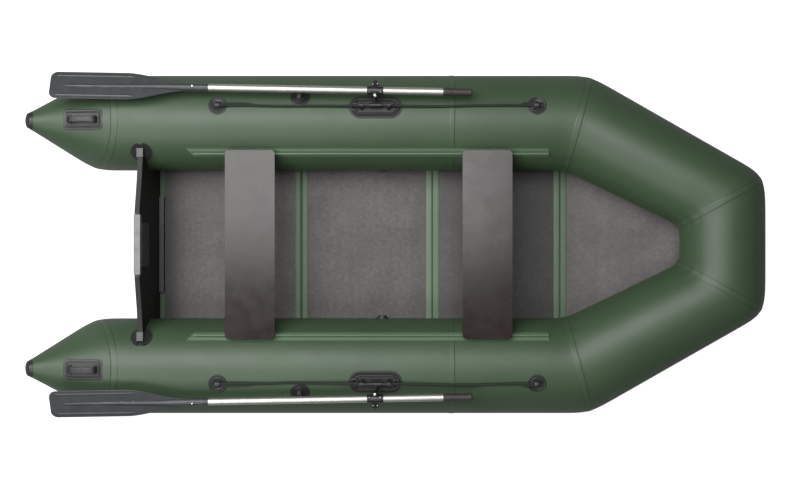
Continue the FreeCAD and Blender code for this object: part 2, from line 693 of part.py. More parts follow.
# Oar: shaft, blade and grip, stowed with the blade flat and pointing aft.
tip_at = size("oar_aft")
socket_end = tip_at - size("blade_length")
shaft = rod(
    shaft_centre + oar_way * (socket_end - size("socket_length") + 30),
    shaft_centre - oar_way * (size("oar_fore") - size("grip_length")), shaft_r,
)
both_sides(solid("oar_tube", shaft), "oar_shaft")
grip = rod(
    shaft_centre - oar_way * (size("oar_fore") - size("grip_length")),
    shaft_centre - oar_way * size("oar_fore"), size("grip_dia") / 2,
)
grip_fillet = grip.makeFillet(6, [edge for edge in grip.Edges if edge.Curve.TypeId == "Part::GeomCircle"])
both_sides(solid("grip", grip_fillet), "oar_grip")
neck_r = shaft_r + 2.5
blade_half = size("blade_width") / 2
full_from = socket_end + size("blade_neck")
outline = [
    V(socket_end, -neck_r, 0), V(full_from, -blade_half, 0), V(tip_at - 40, -blade_half, 0),
    V(tip_at, -blade_half + 26, 0), V(tip_at, blade_half - 26, 0), V(tip_at - 40, blade_half, 0),
    V(full_from, blade_half, 0), V(socket_end, neck_r, 0),
]
flat = Part.Face(Part.makePolygon(outline + outline[:1])).extrude(V(0, 0, size("blade_wall")))
flat.translate(V(0, 0, -size("blade_wall") / 2))
flat.Placement = oar_frame.multiply(flat.Placement)
spine = Part.makeCone(neck_r, 4, size("blade_neck") * 1.6, local(oar_frame, socket_end, 0, 0), oar_way)
collar = rod(
    shaft_centre + oar_way * (socket_end - size("socket_length")), shaft_centre + oar_way * socket_end, neck_r
)
shaft_room = rod(
    shaft_centre, shaft_centre + oar_way * (socket_end - size("socket_length") + 30), shaft_r
)
blade = flat.fuse([spine, collar]).cut(shaft_room).removeSplitter()
both_sides(solid("blade", blade), "oar_blade")

# Oar rest: a disc and a stem with a flat pad under the shaft that runs on inboard of it.
rest_point = shaft_centre + oar_way * ((size("lock_x") - size("rest_x")) / math.cos(toe))
rest_line = rest_point - V(0, axis_y, tube_r)
along_pin = rest_line.y * pin_way.y + rest_line.z * pin_way.z
off_pin = rest_line.y * out_way.y + rest_line.z * out_way.z
surface = math.sqrt(tube_r ** 2 - off_pin ** 2)
rest_foot = rest_point - pin_way * (along_pin - surface)
rest_frame = frame(rest_foot, forward, pin_way)
rest_height = along_pin - surface - shaft_r - 0.5
rest_side = 1 if rest_frame.Rotation.multVec(V(0, 1, 0)).dot(out_way) > 0 else -1
rest_disc = tube_frame(size("rest_x"), math.degrees(math.asin((rest_foot.y - axis_y) / tube_r)))
rest_depth = tube_r - math.sqrt(tube_r ** 2 - size("rest_radius") ** 2) + 2
rest = disc(rest_disc, size("rest_radius"), -rest_depth, 4)
rest = rest.fuse(disc(rest_disc, 26, -rest_depth, 9))
rest = rest.fuse(disc(rest_frame, 11, -2, rest_height))
pad_y = sorted((-rest_side * (shaft_r + 6 + 14), rest_side * 15))
rest = rest.fuse(block(rest_frame, -9, 9, pad_y[0], pad_y[1], rest_height - 7, rest_height))
rest = rest.cut(port_side).removeSplitter()
both_sides(solid("rest", rest), "oar_rest")

# Carry handles on the cones: a base plate and an arched strap.
seam_top = V(cone_seam.x + tube_r * math.tan(tilt), axis_y, 2 * tube_r)
end_top = cap_seat + V(cone_way.z, 0, -cone_way.x).normalize() * size("cap_radius")
top_way = (seam_top - end_top).normalize()
share = (size("handle_x") - end_top.x) / (seam_top.x - end_top.x)
handle_foot = end_top + (seam_top - end_top) * share
handle_frame = frame(handle_foot, top_way, V(-top_way.z, 0, top_way.x))
local_r = size("cap_radius") + (tube_r - size("cap_radius")) * share
handle_depth = local_r - math.sqrt(local_r ** 2 - (size("handle_width") / 2) ** 2) + 3
handle = block(
    handle_frame, -size("handle_length") / 2, size("handle_length") / 2,
    -size("handle_width") / 2, size("handle_width") / 2, -handle_depth, 4,
)
upright_edges = [edge for edge in handle.Edges if abs(edge.Length - handle_depth - 4) < 0.01]
handle = handle.makeFillet(20, upright_edges)
strap_wall = 8
strap_half = 16
strap_reach = size("handle_length") / 2 - 22
gap_top = 4 + size("handle_gap")
strap = block(handle_frame, -strap_reach, strap_reach, -strap_half, strap_half, 3, gap_top + strap_wall)
corner_edges = []
for edge in strap.Edges:
    middle = handle_frame.inverse().multVec(edge.CenterOfMass)
    if abs(middle.y) < 0.1 and middle.z > gap_top:
        corner_edges.append(edge)
strap = strap.makeFillet(14, corner_edges)
finger = block(
    handle_frame, -strap_reach + 13, strap_reach - 13, -strap_half - 1, strap_half + 1, 4, gap_top
)
handle = handle.fuse(strap.cut(finger)).cut(cone_side).cut(port_side).removeSplitter()
both_sides(solid("handle", handle), "carry_handle")

# Air valves on the inner flanks of the side tubes.
valve_depth = tube_r - math.sqrt(tube_r ** 2 - size("valve_radius") ** 2) + 2
for name, degrees, flip in (("starboard_air_valve", -92, -1), ("port_air_valve", -112, 1)):
    place = tube_frame(-48, degrees)
    valve = disc(place, size("valve_radius"), -valve_depth, 4).fuse(disc(place, 19, -valve_depth, 12))
    valve = valve.cut(port_side).removeSplitter()
    if flip < 0:
        valve = valve.mirror(V(0, 0, 0), V(0, 1, 0))
    keep(solid(name, valve), name)

# Tow eye under the front of the bow tube.
tow_turn = math.radians(58)
tow_normal = V(math.cos(tow_turn), 0, -math.sin(tow_turn))
bow_centre = V(bow_corner.x, 0, bow_corner.z)
tow_frame = frame(bow_centre + tow_normal * bow_r, V(0, 1, 0), tow_normal)
tow_depth = bow_r - math.sqrt(bow_r ** 2 - 45 ** 2) + 2
tow = disc(tow_frame, 45, -tow_depth, 4)
tow_out = 22
tow = tow.fuse(block(tow_frame, -7, 7, -20, 20, 2, tow_out))
tow = tow.fuse(rod(local(tow_frame, -7, 0, tow_out), local(tow_frame, 7, 0, tow_out), 20))
tow = tow.cut(rod(local(tow_frame, -8, 0, tow_out), local(tow_frame, 8, 0, tow_out), size("tow_hole")))
tow = tow.cut(bow_room.Shape).removeSplitter()
keep(solid("tow", tow), "bow_tow_eye")

# Grab lines: straight runs joined by tangent arcs, from an eye to a lug of the oarlock base.
ROUTES = {
    "port_grab_line_aft": [
        (-733, 590.9, 420.5), (-652, 592.4, 415.8), (-546, 589.2, 414.4), (-440, 587.4, 414.8),
        (-335, 589.2, 415.6), (-232, 587.9, 422.4), (-140, 589.1, 427.9),
    ],
    "port_grab_line_forward": [
        (-12, 589.1, 427.9), (80, 588.1, 422.6), (184, 585.8, 415.9), (292, 588.9, 414.4),
        (400, 591.0, 413.8), (516, 592.3, 415.4), (597, 590.9, 420.5),
    ],
    "starboard_grab_line_aft": [
        (-733, -590.9, 420.5), (-650, -588.6, 416.4), (-544, -592.0, 413.8), (-440, -586.6, 415.4),
        (-338, -588.2, 416.2), (-232, -589.8, 422.4), (-140, -589.1, 427.9),
    ],
    "starboard_grab_line_forward": [
        (-12, -589.1, 427.9), (80, -592.2, 421.9), (186, -595.2, 413.6), (294, -597.0, 412.2),
        (402, -594.3, 413.0), (516, -590.0, 416.0), (597, -590.9, 420.5),
    ],
}


def rope(name, points):
    """Tube along the route; every bend is an arc tangent to both its runs."""
    knots = [V(*point) for point in points]
    edges = []
    radii = []
    start = knots[0]
    for before, knot, after in zip(knots, knots[1:], knots[2:]):
        back = before - knot
        ahead = after - knot
        turn = math.pi - back.getAngle(ahead)
        reach = 0.45 * min(back.Length, ahead.Length)
        radii.append(reach / math.tan(turn / 2))
        enter = knot + back.normalize() * reach
        leave = knot + ahead.normalize() * reach
        bisector = (V(back) + V(ahead)).normalize()
        middle = knot + bisector * (radii[-1] * (1 / math.cos(turn / 2) - 1))
        edges.append(Part.LineSegment(start, enter).toShape())
        edges.append(Part.Arc(enter, middle, leave).toShape())
        start = leave
    edges.append(Part.LineSegment(start, knots[-1]).toShape())
    path = Part.Wire(edges)
    profile = Part.Wire([Part.Circle(knots[0], knots[1] - knots[0], rope_r).toShape()])
    tube = path.makePipeShell([profile], True, False)
    length = path.Length
    print(name, "length", round(length, 1), "radii", [round(radius) for radius in radii])
    print(name, "volume over section times length", round(tube.Volume / (math.pi * rope_r ** 2 * length), 4))
    return keep(solid(name, tube), name)


for name, points in ROUTES.items():
    rope(name, points)

doc.recompute()
failed = [obj.Name for obj in doc.Objects if {"Invalid", "Error"} & set(obj.State)]
if failed:
    raise RuntimeError("failed objects: " + ", ".join(failed))
for obj in parts:
    if obj.Shape.isNull() or not obj.Shape.isValid():
        raise RuntimeError("bad shape: " + obj.Label)
    if obj.Shape.Volume <= 0 or not obj.Shape.Solids:
        raise RuntimeError("no solid: " + obj.Label)

os.makedirs("parts", exist_ok=True)
for obj in parts:
    obj.Shape.exportStep(f"parts/{obj.Label}.step")
print(len(parts), "sub-parts written")
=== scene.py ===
"""The looks of an inflatable rowing and motor boat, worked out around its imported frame.

Lengths are metres, with X forward, Y to port and Z up. Each shape is worked out for the port side,
and the starboard one is the same points with Y turned over.
"""

import json
import math

import bpy
import numpy as np
from bpy.props import FloatProperty, FloatVectorProperty, IntProperty, PointerProperty
from mathutils import Matrix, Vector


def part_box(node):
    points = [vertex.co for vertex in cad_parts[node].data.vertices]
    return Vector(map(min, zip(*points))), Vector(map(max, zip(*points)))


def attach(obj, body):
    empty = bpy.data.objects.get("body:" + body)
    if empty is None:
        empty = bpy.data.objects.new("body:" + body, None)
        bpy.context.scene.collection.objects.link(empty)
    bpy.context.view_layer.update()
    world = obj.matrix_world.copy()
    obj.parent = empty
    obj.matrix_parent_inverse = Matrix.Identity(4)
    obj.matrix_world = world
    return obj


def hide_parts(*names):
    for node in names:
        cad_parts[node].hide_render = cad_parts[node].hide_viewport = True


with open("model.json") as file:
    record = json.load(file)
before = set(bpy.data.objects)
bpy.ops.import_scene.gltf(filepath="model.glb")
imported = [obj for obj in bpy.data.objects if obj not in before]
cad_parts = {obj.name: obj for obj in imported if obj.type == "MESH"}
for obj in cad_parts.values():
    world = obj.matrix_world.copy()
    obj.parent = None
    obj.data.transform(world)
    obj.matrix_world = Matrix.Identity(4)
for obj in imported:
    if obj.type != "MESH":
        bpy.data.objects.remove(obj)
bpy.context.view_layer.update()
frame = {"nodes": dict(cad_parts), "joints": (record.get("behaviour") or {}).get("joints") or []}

bl_info = {
    "name": "Inflatable boat",
    "version": (1, 0, 0),
    "blender": (4, 5, 0),
    "location": "View3D > Sidebar > Boat",
    "description": "Builds the fabric, wood, rope and fittings of an inflatable boat",
    "category": "Add Mesh",
}

SIDES = {"port": 1.0, "starboard": -1.0}


def corners(node):
    """Lowest and highest corner of a node, as arrays."""
    low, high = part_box(node)
    return np.array(low), np.array(high)


def joint_line(name):
    """Axis and pivot of a hinge of the frame."""
    found = next(joint for joint in frame["joints"] if joint["name"] == name)
    axis = np.array(found["axis"], float)
    return axis / np.linalg.norm(axis), np.array(found["pos_m"], float)


aft_low, aft_high = corners("port_side_tube_aft")
bow_low, bow_high = corners("bow_tube")
cone_low, cone_high = corners("port_stern_cone")
cap_low, cap_high = corners("port_cone_cap")
TUBE_RADIUS = (aft_high[1] - aft_low[1]) / 2
TUBE_AXIS = np.array([0, aft_high[1] - TUBE_RADIUS, TUBE_RADIUS])
RING_SEAM_X = aft_high[0]
BOW_RADIUS = (bow_high[2] - bow_low[2]) / 2
BOW_AXIS = np.array([bow_high[0] - BOW_RADIUS, 0, bow_high[2] - BOW_RADIUS])
CONE_CROWN_X = cone_high[0]
CONE_FOOT_X = aft_low[0]
CAP_RADIUS = (cap_high[1] - cap_low[1]) / 2
CAP_CENTRE = np.array([cap_low[0] + CAP_RADIUS, TUBE_AXIS[1], cap_high[2] - CAP_RADIUS])
SKIN_TOP = corners("floor_board_aft")[0][2]
SIDE_SEGMENTS = 112
STATION_STEP = 0.015


# Sizes and colours ---------------------------------------------------------------------------------


def length(name, text, value, low=0.0, high=5.0):
    """A length in metres that the panel shows."""
    return FloatProperty(
        name=name, description=text, default=value, min=low, max=high, unit="LENGTH", precision=4
    )


def colour(name, text, value):
    """A colour that the panel shows."""
    return FloatVectorProperty(
        name=name, description=text, default=value, min=0.0, max=1.0, size=3, subtype="COLOR"
    )


class BoatSizes(bpy.types.PropertyGroup):
    """Sizes of the fabric and fittings."""

    side_corner: length("Side corner", "Where the side tube's axis turns in to the bow", 0.807)
    bow_corner: length("Bow corner", "Half the length of the bow tube along its axis", 0.187)
    tape_width: length("Seam tape width", "Width of the tape over a seam", 0.028)
    tape_height: length("Seam tape height", "How far a tape stands off the fabric", 0.0011)
    softness: FloatProperty(
        name="Corner softness",
        description="How many stations the rounding of a mitred corner spreads over",
        default=2.6,
        min=0.5,
        max=6.0,
    )
    pucker: length("Pucker", "Height of the small folds inside a mitred corner", 0.0016)
    rope: length("Rope", "Diameter of the grab line", 0.011)
    plaits: IntProperty(
        name="Plaits", description="Strands that go each way round the rope", default=4, min=2, max=8
    )
    plait_pitch: length("Plait pitch", "Length of one turn of a strand", 0.034)
    eye_radius: length("Eye radius", "Radius of a grab line eye", 0.040)
    lock_half: length("Oarlock half length", "Half the length of an oarlock base", 0.113)
    lock_width: length("Oarlock half width", "Half the width of an oarlock base", 0.049)
    lock_angle: FloatProperty(
        name="Oarlock angle",
        description="How far outboard of the crown the oarlock sits",
        default=math.radians(14.4),
        subtype="ANGLE",
    )
    bar_height: length("Bar height", "Height of the oarlock's bar over the tube", 0.026)
    bar_radius: length("Bar radius", "Radius of the oarlock's bar", 0.005)
    shaft_radius: length("Shaft radius", "Radius of the oar's shaft", 0.016)
    collar_radius: length("Socket radius", "Radius of the blade's socket", 0.0185)
    blade_half: length("Blade half width", "Half the width of the blade", 0.063)
    blade_wall: length("Blade wall", "Thickness of the blade", 0.007)
    rail_angle: FloatProperty(
        name="Rail angle",
        description="How far inboard of the crown the seat rail is glued",
        default=math.radians(41.8),
        subtype="ANGLE",
    )
    camera_height: length("Camera height", "Height of the camera", 6.2075, 1.0, 20.0)


class BoatColours(bpy.types.PropertyGroup):
    """Colours of the materials."""

    hull: colour("Hull fabric", "Coated fabric of the tubes", (0.041, 0.072, 0.037))
    bottom: colour("Bottom fabric", "Coated fabric of the bottom", (0.040, 0.070, 0.038))
    strip: colour("Strip fabric", "Fabric of the floor's hinges and seat rails", (0.085, 0.135, 0.080))
    floor: colour("Floor film", "Printed film of the floor boards", (0.064, 0.057, 0.054))
    seat: colour("Seat film", "Smooth film of the seats", (0.016, 0.009, 0.009))
    transom: colour("Transom film", "Film of the transom", (0.007, 0.006, 0.005))
    grey: colour("Grey plastic", "Motor pads and caps", (0.17, 0.175, 0.175))
    black: colour("Black plastic", "Oarlocks, rests and clamps", (0.014, 0.014, 0.015))
    rubber: colour("Black rubber", "Eyes, handles, holders and cone caps", (0.018, 0.018, 0.019))
    slider: colour("Slider plastic", "Sliders under the seats", (0.030, 0.031, 0.031))
    rope: colour("Rope", "Plaited grab line", (0.010, 0.014, 0.010))
    shaft: colour("Oar shaft", "Drawn aluminium", (0.56, 0.55, 0.52))
    blade: colour("Blade plastic", "Moulded blade", (0.036, 0.039, 0.041))
    grip: colour("Grip rubber", "Oar grip", (0.030, 0.024, 0.024))
    steel: colour("Steel", "Pins, rivets and nuts", (0.72, 0.72, 0.70))


# Shapes --------------------------------------------------------------------------------------------


def turn(count, start=0.0):
    """Angles evenly round a whole turn."""
    return (np.arange(count) + start) * 2 * np.pi / count


def unit(vectors):
    """Vectors brought to length one."""
    vectors = np.asarray(vectors, float)
    return vectors / np.linalg.norm(vectors, axis=-1, keepdims=True)


def ease(share):
    """Smooth step from 0 to 1: three times the square less twice the cube."""
    share = np.clip(share, 0, 1)
    return share * share * (3 - 2 * share)


def shell(rings):
    """A closed skin over rows of closed rings: quads between neighbours and a fan over each end ring."""
    rows, columns = rings.shape[:2]
    row, column = np.arange(rows - 1)[:, None], np.arange(columns)[None, :]
    beside = (column + 1) % columns
    quads = np.stack(
        [row * columns + column, row * columns + beside,
         (row + 1) * columns + beside, (row + 1) * columns + column], axis=-1
    ).reshape(-1, 4)
    around = np.arange(columns)
    after = (around + 1) % columns
    last = (rows - 1) * columns
    fans = np.vstack([
        np.stack([np.full(columns, rows * columns), after, around], axis=-1),
        np.stack([np.full(columns, rows * columns + 1), last + around, last + after], axis=-1),
    ])
    points = np.vstack([rings.reshape(-1, 3), rings[0].mean(0)[None], rings[-1].mean(0)[None]])
    return points, quads, fans


def hoop(rings):
    """A closed skin over rows of closed rings whose last row joins the first."""
    rows, columns = rings.shape[:2]
    row, column = np.arange(rows)[:, None], np.arange(columns)[None, :]
    below, beside = (row + 1) % rows, (column + 1) % columns
    quads = np.stack(
        [row * columns + column, row * columns + beside, below * columns + beside, below * columns + column],
        axis=-1,
    ).reshape(-1, 4)
    return rings.reshape(-1, 3), quads, np.zeros((0, 3), int)


def outward(points, quads, fans):
    """The same faces, turned over where the volume they enclose comes out negative."""
    triangles = np.vstack([quads[:, :3], quads[:, [0, 2, 3]], fans])
    first, second, third = (points[triangles[:, k]] - points.mean(0) for k in range(3))
    if (first * np.cross(second, third)).sum() < 0:
        return quads[:, ::-1], fans[:, ::-1]
    return quads, fans


def round_bar(path, radii, count=20, flat=1.0, reference=(0, 0, 1)):
    """A circle, or an ellipse where flat isn't 1, carried along a path with a radius at each point."""
    path = np.asarray(path, float)
    radii = np.broadcast_to(np.asarray(radii, float), (len(path),))
    along = unit(np.gradient(path, axis=0))
    across = unit(np.cross(along, np.asarray(reference, float)))
    up = np.cross(across, along)
    angle = turn(count)
    return (
        path[:, None]
        + radii[:, None, None] * np.cos(angle)[None, :, None] * across[:, None]
        + radii[:, None, None] * flat * np.sin(angle)[None, :, None] * up[:, None]
    )


def lathe(start, axis, stations, count=32):
    """A profile of (height along the axis, radius) turned about the axis."""
    axis = unit(axis)
    helper = np.array([1.0, 0, 0]) if abs(axis[0]) < 0.9 else np.array([0, 1.0, 0])
    across = unit(np.cross(axis, helper))
    up = np.cross(axis, across)
    height, radius = np.array(stations, float).T
    angle = turn(count)
    ring = np.cos(angle)[:, None] * across + np.sin(angle)[:, None] * up
    return np.asarray(start, float) + height[:, None, None] * axis + radius[:, None, None] * ring[None]


def outline(half_length, half_width, corner, inset=0.0, count=64):
    """A rectangle with round corners drawn in by the inset: four quarter circles set apart."""
    angle = turn(count, 0.5)
    round_off = max(corner - inset, 0.0006)
    reach = max(half_length - inset - round_off, 0.0)
    breadth = max(half_width - inset - round_off, 0.0)
    return (
        reach * np.sign(np.cos(angle)) + round_off * np.cos(angle),
        breadth * np.sign(np.sin(angle)) + round_off * np.sin(angle),
    )


class Place:
    """A spot on a curved surface: its centre, the ways along and across it, its normal and its radius."""

    def __init__(self, centre, along, across, normal, radius):
        self.centre, self.along = np.asarray(centre, float), unit(along)
        self.across, self.normal, self.radius = unit(across), unit(normal), radius

    def lay(self, along, across, height):
        """Points so far along, so far round and so high over the surface, bent round its radius."""
        along, across, height = np.broadcast_arrays(
            *(np.asarray(value, float) for value in (along, across, height))
        )
        angle = across / self.radius
        lifted = (self.radius + height)[..., None]
        return (
            self.centre
            - self.radius * self.normal
            + along[..., None] * self.along
            + lifted * (np.sin(angle)[..., None] * self.across + np.cos(angle)[..., None] * self.normal)
        )

    def up(self, along, across, height):
        """A point straight over the spot, with no bending."""
        return self.centre + along * self.along + across * self.across + height * self.normal


def on_side_tube(x, angle):
    """The spot on the port side tube at that X, turned outboard of the crown by the angle."""
    normal = np.array([0, math.sin(angle), math.cos(angle)])
    across = np.array([0, math.cos(angle), -math.sin(angle)])
    centre = TUBE_AXIS + np.array([x, 0, 0]) + TUBE_RADIUS * normal
    return Place(centre, (1, 0, 0), across, normal, TUBE_RADIUS)


def pad(place, half_length, half_width, corner, layers, count=64):
    """A moulded pad laid on a surface: its outline drawn in step by step, each step at its own height."""
    rings = []
    for inset, height in layers:
        along, across = outline(half_length, half_width, corner, inset, count)
        rings.append(place.lay(along, across, height))
    return np.stack(rings)


def slab(place, along, across, heights, ease_in=0.0008):
    """An outline lifted between two heights over a spot, with both rims drawn in a little."""
    low, high = heights
    middle = np.array([along.mean(), across.mean()])
    rings = []
    for height, inset in ((low, ease_in), (low + ease_in, 0), (high - ease_in, 0), (high, ease_in)):
        away = np.stack([along, across], axis=-1) - middle
        share = 1 - inset / np.linalg.norm(away, axis=-1, keepdims=True).clip(0.003)
        drawn = middle + away * share
        rings.append(
            place.centre
            + drawn[:, :1] * place.along
            + drawn[:, 1:] * place.across
            + height * place.normal
        )
    return np.stack(rings)


# Pieces --------------------------------------------------------------------------------------------


def add_piece(name, skins, side, body, finish, replaces=(), crease=34.0, mark=None):
    """Joins the skins into one mesh object, faces outwards, with its finish, and lets it ride on its body."""
    points, quads, fans, start = [], [], [], 0
    for skin in skins:
        placed = skin[0] * np.array([1.0, side, 1.0])
        four, three = outward(placed, skin[1], skin[2])
        points.append(placed)
        quads.append(four + start)
        fans.append(three + start)
        start += len(placed)
    mesh = bpy.data.meshes.new(name)
    faces = np.vstack(quads).tolist() + np.vstack(fans).tolist()
    mesh.from_pydata(np.vstack(points).tolist(), [], faces)
    mesh.shade_smooth()
    mesh.set_sharp_from_angle(angle=math.radians(crease))
    if mark is not None:
        attribute = mesh.attributes.new("seam", "FLOAT", "POINT")
        attribute.data.foreach_set("value", np.asarray(mark, np.float32))
    mesh.materials.append(finish)
    made = bpy.data.objects.new(name, mesh)
    bpy.context.scene.collection.objects.link(made)
    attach(made, body)
    if replaces:
        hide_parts(*replaces)
    return made


def both_sides(name, skins, body, finish, replaces=(), crease=34.0, mark=None):
    """The port piece and its starboard twin, with {side} filled in for bodies and nodes."""
    for side, sign in SIDES.items():
        add_piece(
            f"{side}_{name}", skins, sign, body.format(side=side), finish,
            [node.format(side=side) for node in replaces], crease, mark,
        )


# Materials -----------------------------------------------------------------------------------------


def link(tree, value, socket):
    """Feeds a socket from another one, or sets it."""
    if isinstance(value, bpy.types.NodeSocket):
        tree.links.new(value, socket)
    else:
        socket.default_value = value


def maths(tree, operation, *values):
    """A Math node's result."""
    made = tree.nodes.new("ShaderNodeMath")
    made.operation = operation
    for value, socket in zip(values, made.inputs):
        link(tree, value, socket)
    return made.outputs[0]


def mixed(tree, share, first, second):
    """A Mix node's colour."""
    made = tree.nodes.new("ShaderNodeMix")
    made.data_type = "RGBA"
    for value, socket in zip((share, first, second), (made.inputs[0], made.inputs[6], made.inputs[7])):
        link(tree, value, socket)
    return made.outputs[2]


def node_group(name, inputs, outputs):
    """An empty shader node group with named sockets."""
    tree = bpy.data.node_groups.new(name, "ShaderNodeTree")
    for label, kind in inputs:
        tree.interface.new_socket(label, in_out="INPUT", socket_type=kind)
    for label, kind in outputs:
        tree.interface.new_socket(label, in_out="OUTPUT", socket_type=kind)
    return tree, tree.nodes.new("NodeGroupInput").outputs, tree.nodes.new("NodeGroupOutput").inputs


def patches_group():
    """Uneven patches: noise of a given scale, brought between two values."""
    tree, given, result = node_group(
        "Patches",
        [("Coordinates", "NodeSocketVector"), ("Scale", "NodeSocketFloat"),
         ("Low", "NodeSocketFloat"), ("High", "NodeSocketFloat")],
        [("Value", "NodeSocketFloat")],
    )
    noise = tree.nodes.new("ShaderNodeTexNoise")
    noise.inputs["Detail"].default_value = 5.0
    link(tree, given["Coordinates"], noise.inputs["Vector"])
    link(tree, given["Scale"], noise.inputs["Scale"])
    spread = tree.nodes.new("ShaderNodeMapRange")
    link(tree, noise.outputs[0], spread.inputs["Value"])
    spread.inputs["From Min"].default_value = 0.3
    spread.inputs["From Max"].default_value = 0.7
    link(tree, given["Low"], spread.inputs["To Min"])
    link(tree, given["High"], spread.inputs["To Max"])
    link(tree, spread.outputs[0], result["Value"])
    return tree


def threads_group():
    """Woven threads: the larger of two sine waves, one along X and one along Y and Z together."""
    tree, given, result = node_group(
        "Threads",
        [("Coordinates", "NodeSocketVector"), ("Threads per metre", "NodeSocketFloat")],
        [("Height", "NodeSocketFloat")],
    )
    parts = tree.nodes.new("ShaderNodeSeparateXYZ")
    link(tree, given["Coordinates"], parts.inputs[0])
    turns = maths(tree, "MULTIPLY", given["Threads per metre"], 2 * math.pi)
    warp = maths(tree, "SINE", maths(tree, "MULTIPLY", parts.outputs["X"], turns))
    other = maths(tree, "ADD", parts.outputs["Y"], parts.outputs["Z"])
    weft = maths(tree, "SINE", maths(tree, "MULTIPLY", other, turns))
    link(tree, maths(tree, "MAXIMUM", warp, weft), result["Height"])
    return tree


def streaks_group():
    """Streaks along Y, as left by rollers on film: noise stretched forty to one."""
    tree, given, result = node_group(
        "Streaks",
        [("Coordinates", "NodeSocketVector"), ("Scale", "NodeSocketFloat"), ("Amount", "NodeSocketFloat")],
        [("Factor", "NodeSocketFloat")],
    )
    stretch = tree.nodes.new("ShaderNodeVectorMath")
    stretch.operation = "MULTIPLY"
    link(tree, given["Coordinates"], stretch.inputs[0])
    stretch.inputs[1].default_value = (1.0, 0.05, 0.2)
    noise = tree.nodes.new("ShaderNodeTexNoise")
    noise.inputs["Detail"].default_value = 4.0
    link(tree, stretch.outputs[0], noise.inputs["Vector"])
    link(tree, given["Scale"], noise.inputs["Scale"])
    centred = maths(tree, "SUBTRACT", noise.outputs[0], 0.5)
    link(tree, maths(tree, "MULTIPLY_ADD", centred, given["Amount"], 1.0), result["Factor"])
    return tree


def placed_group(material, tree, **values):
    """The outputs of a group placed in a material and fed with Object coordinates."""
    made = material.node_tree.nodes.new("ShaderNodeGroup")
    made.node_tree = tree
    for label, value in values.items():
        link(material.node_tree, value, made.inputs[label.replace("_", " ")])
    link(material.node_tree, object_coordinates(material), made.inputs["Coordinates"])
    return made.outputs


def object_coordinates(material):
    """Object coordinates of a material's own Texture Coordinate node."""
    found = material.node_tree.nodes.get("Coordinates")
    if found is None:
        found = material.node_tree.nodes.new("ShaderNodeTexCoord")
        found.name = "Coordinates"
    return found.outputs["Object"]


def scaled(value, factor):
    """A colour made lighter or darker, with full opacity."""
    return (*(min(1.0, channel * factor) for channel in value), 1.0)


def plain_finish(name, tint, roughness, uneven=0.12, patch_scale=9.0, **sockets):
    """A coated or moulded surface whose tone and roughness wander a little in patches."""
    made = bpy.data.materials.new(name)
    made.use_nodes = True
    tree = made.node_tree
    shader = tree.nodes["Principled BSDF"]
    patch = placed_group(made, GROUPS["patches"], Scale=patch_scale, Low=0.0, High=1.0)["Value"]
    tone = mixed(tree, patch, scaled(tint, 1 - uneven), scaled(tint, 1 + uneven))
    link(tree, tone, shader.inputs["Base Color"])
    rough = placed_group(
        made, GROUPS["patches"], Scale=patch_scale * 3, Low=roughness - 0.03, High=roughness + 0.03
    )["Value"]
    link(tree, rough, shader.inputs["Roughness"])
    for label, value in sockets.items():
        shader.inputs[label.replace("_", " ")].default_value = value
    return made


def tone_of(material):
    """The socket that feeds the base colour."""
    return material.node_tree.nodes["Principled BSDF"].inputs["Base Color"].links[0].from_socket


def multiply_tone(material, factor):
    """Makes the base colour darker or lighter by a factor that changes over the surface."""
    tree = material.node_tree
    made = tree.nodes.new("ShaderNodeVectorMath")
    made.operation = "SCALE"
    link(tree, tone_of(material), made.inputs[0])
    link(tree, factor, made.inputs["Scale"])
    link(tree, made.outputs[0], tree.nodes["Principled BSDF"].inputs["Base Color"])


def bump(material, height, distance, strength=1.0):
    """Adds a height to the surface, on top of any that is there."""
    tree = material.node_tree
    shader = tree.nodes["Principled BSDF"]
    made = tree.nodes.new("ShaderNodeBump")
    made.inputs["Distance"].default_value = distance
    made.inputs["Strength"].default_value = strength
    link(tree, height, made.inputs["Height"])
    if shader.inputs["Normal"].links:
        link(tree, shader.inputs["Normal"].links[0].from_socket, made.inputs["Normal"])
    link(tree, made.outputs[0], shader.inputs["Normal"])


def fabric_finish(name, tint, roughness):
    """Coated fabric: fine threads under a smooth coat that is very slightly uneven."""
    made = plain_finish(name, tint, roughness, 0.07, 3.0, IOR=1.5)
    threads = placed_group(made, GROUPS["threads"], Threads_per_metre=900.0)["Height"]
    bump(made, threads, 0.00006, 0.5)
    swell = placed_group(made, GROUPS["patches"], Scale=14.0, Low=0.0, High=1.0)["Value"]
    bump(made, swell, 0.0009, 0.25)
    return made


def tape_finish(name, tint, roughness):
    """Fabric tape over a seam: painted shade darkens its two glued edges where it steps down to the fabric, and
    a faint painted highlight makes it lighter between them.
    """
    made = fabric_finish(name, tint, roughness)
    tree = made.node_tree
    seam = tree.nodes.new("ShaderNodeAttribute")
    seam.attribute_name = "seam"
    edge = maths(tree, "SMOOTH_MAX", maths(tree, "ABSOLUTE", seam.outputs["Fac"]), 0.0, 0.05)
    # Painted shade and highlight: the colour falls to 0.55 towards both edges of the tape and rises to 1.06
    # over its middle.
    line = tree.nodes.new("ShaderNodeMapRange")
    line.interpolation_type = "SMOOTHSTEP"
    link(tree, edge, line.inputs["Value"])
    line.inputs["From Min"].default_value = 0.70
    line.inputs["From Max"].default_value = 0.95
    line.inputs["To Min"].default_value = 1.06
    line.inputs["To Max"].default_value = 0.55
    multiply_tone(made, line.outputs[0])
    return made


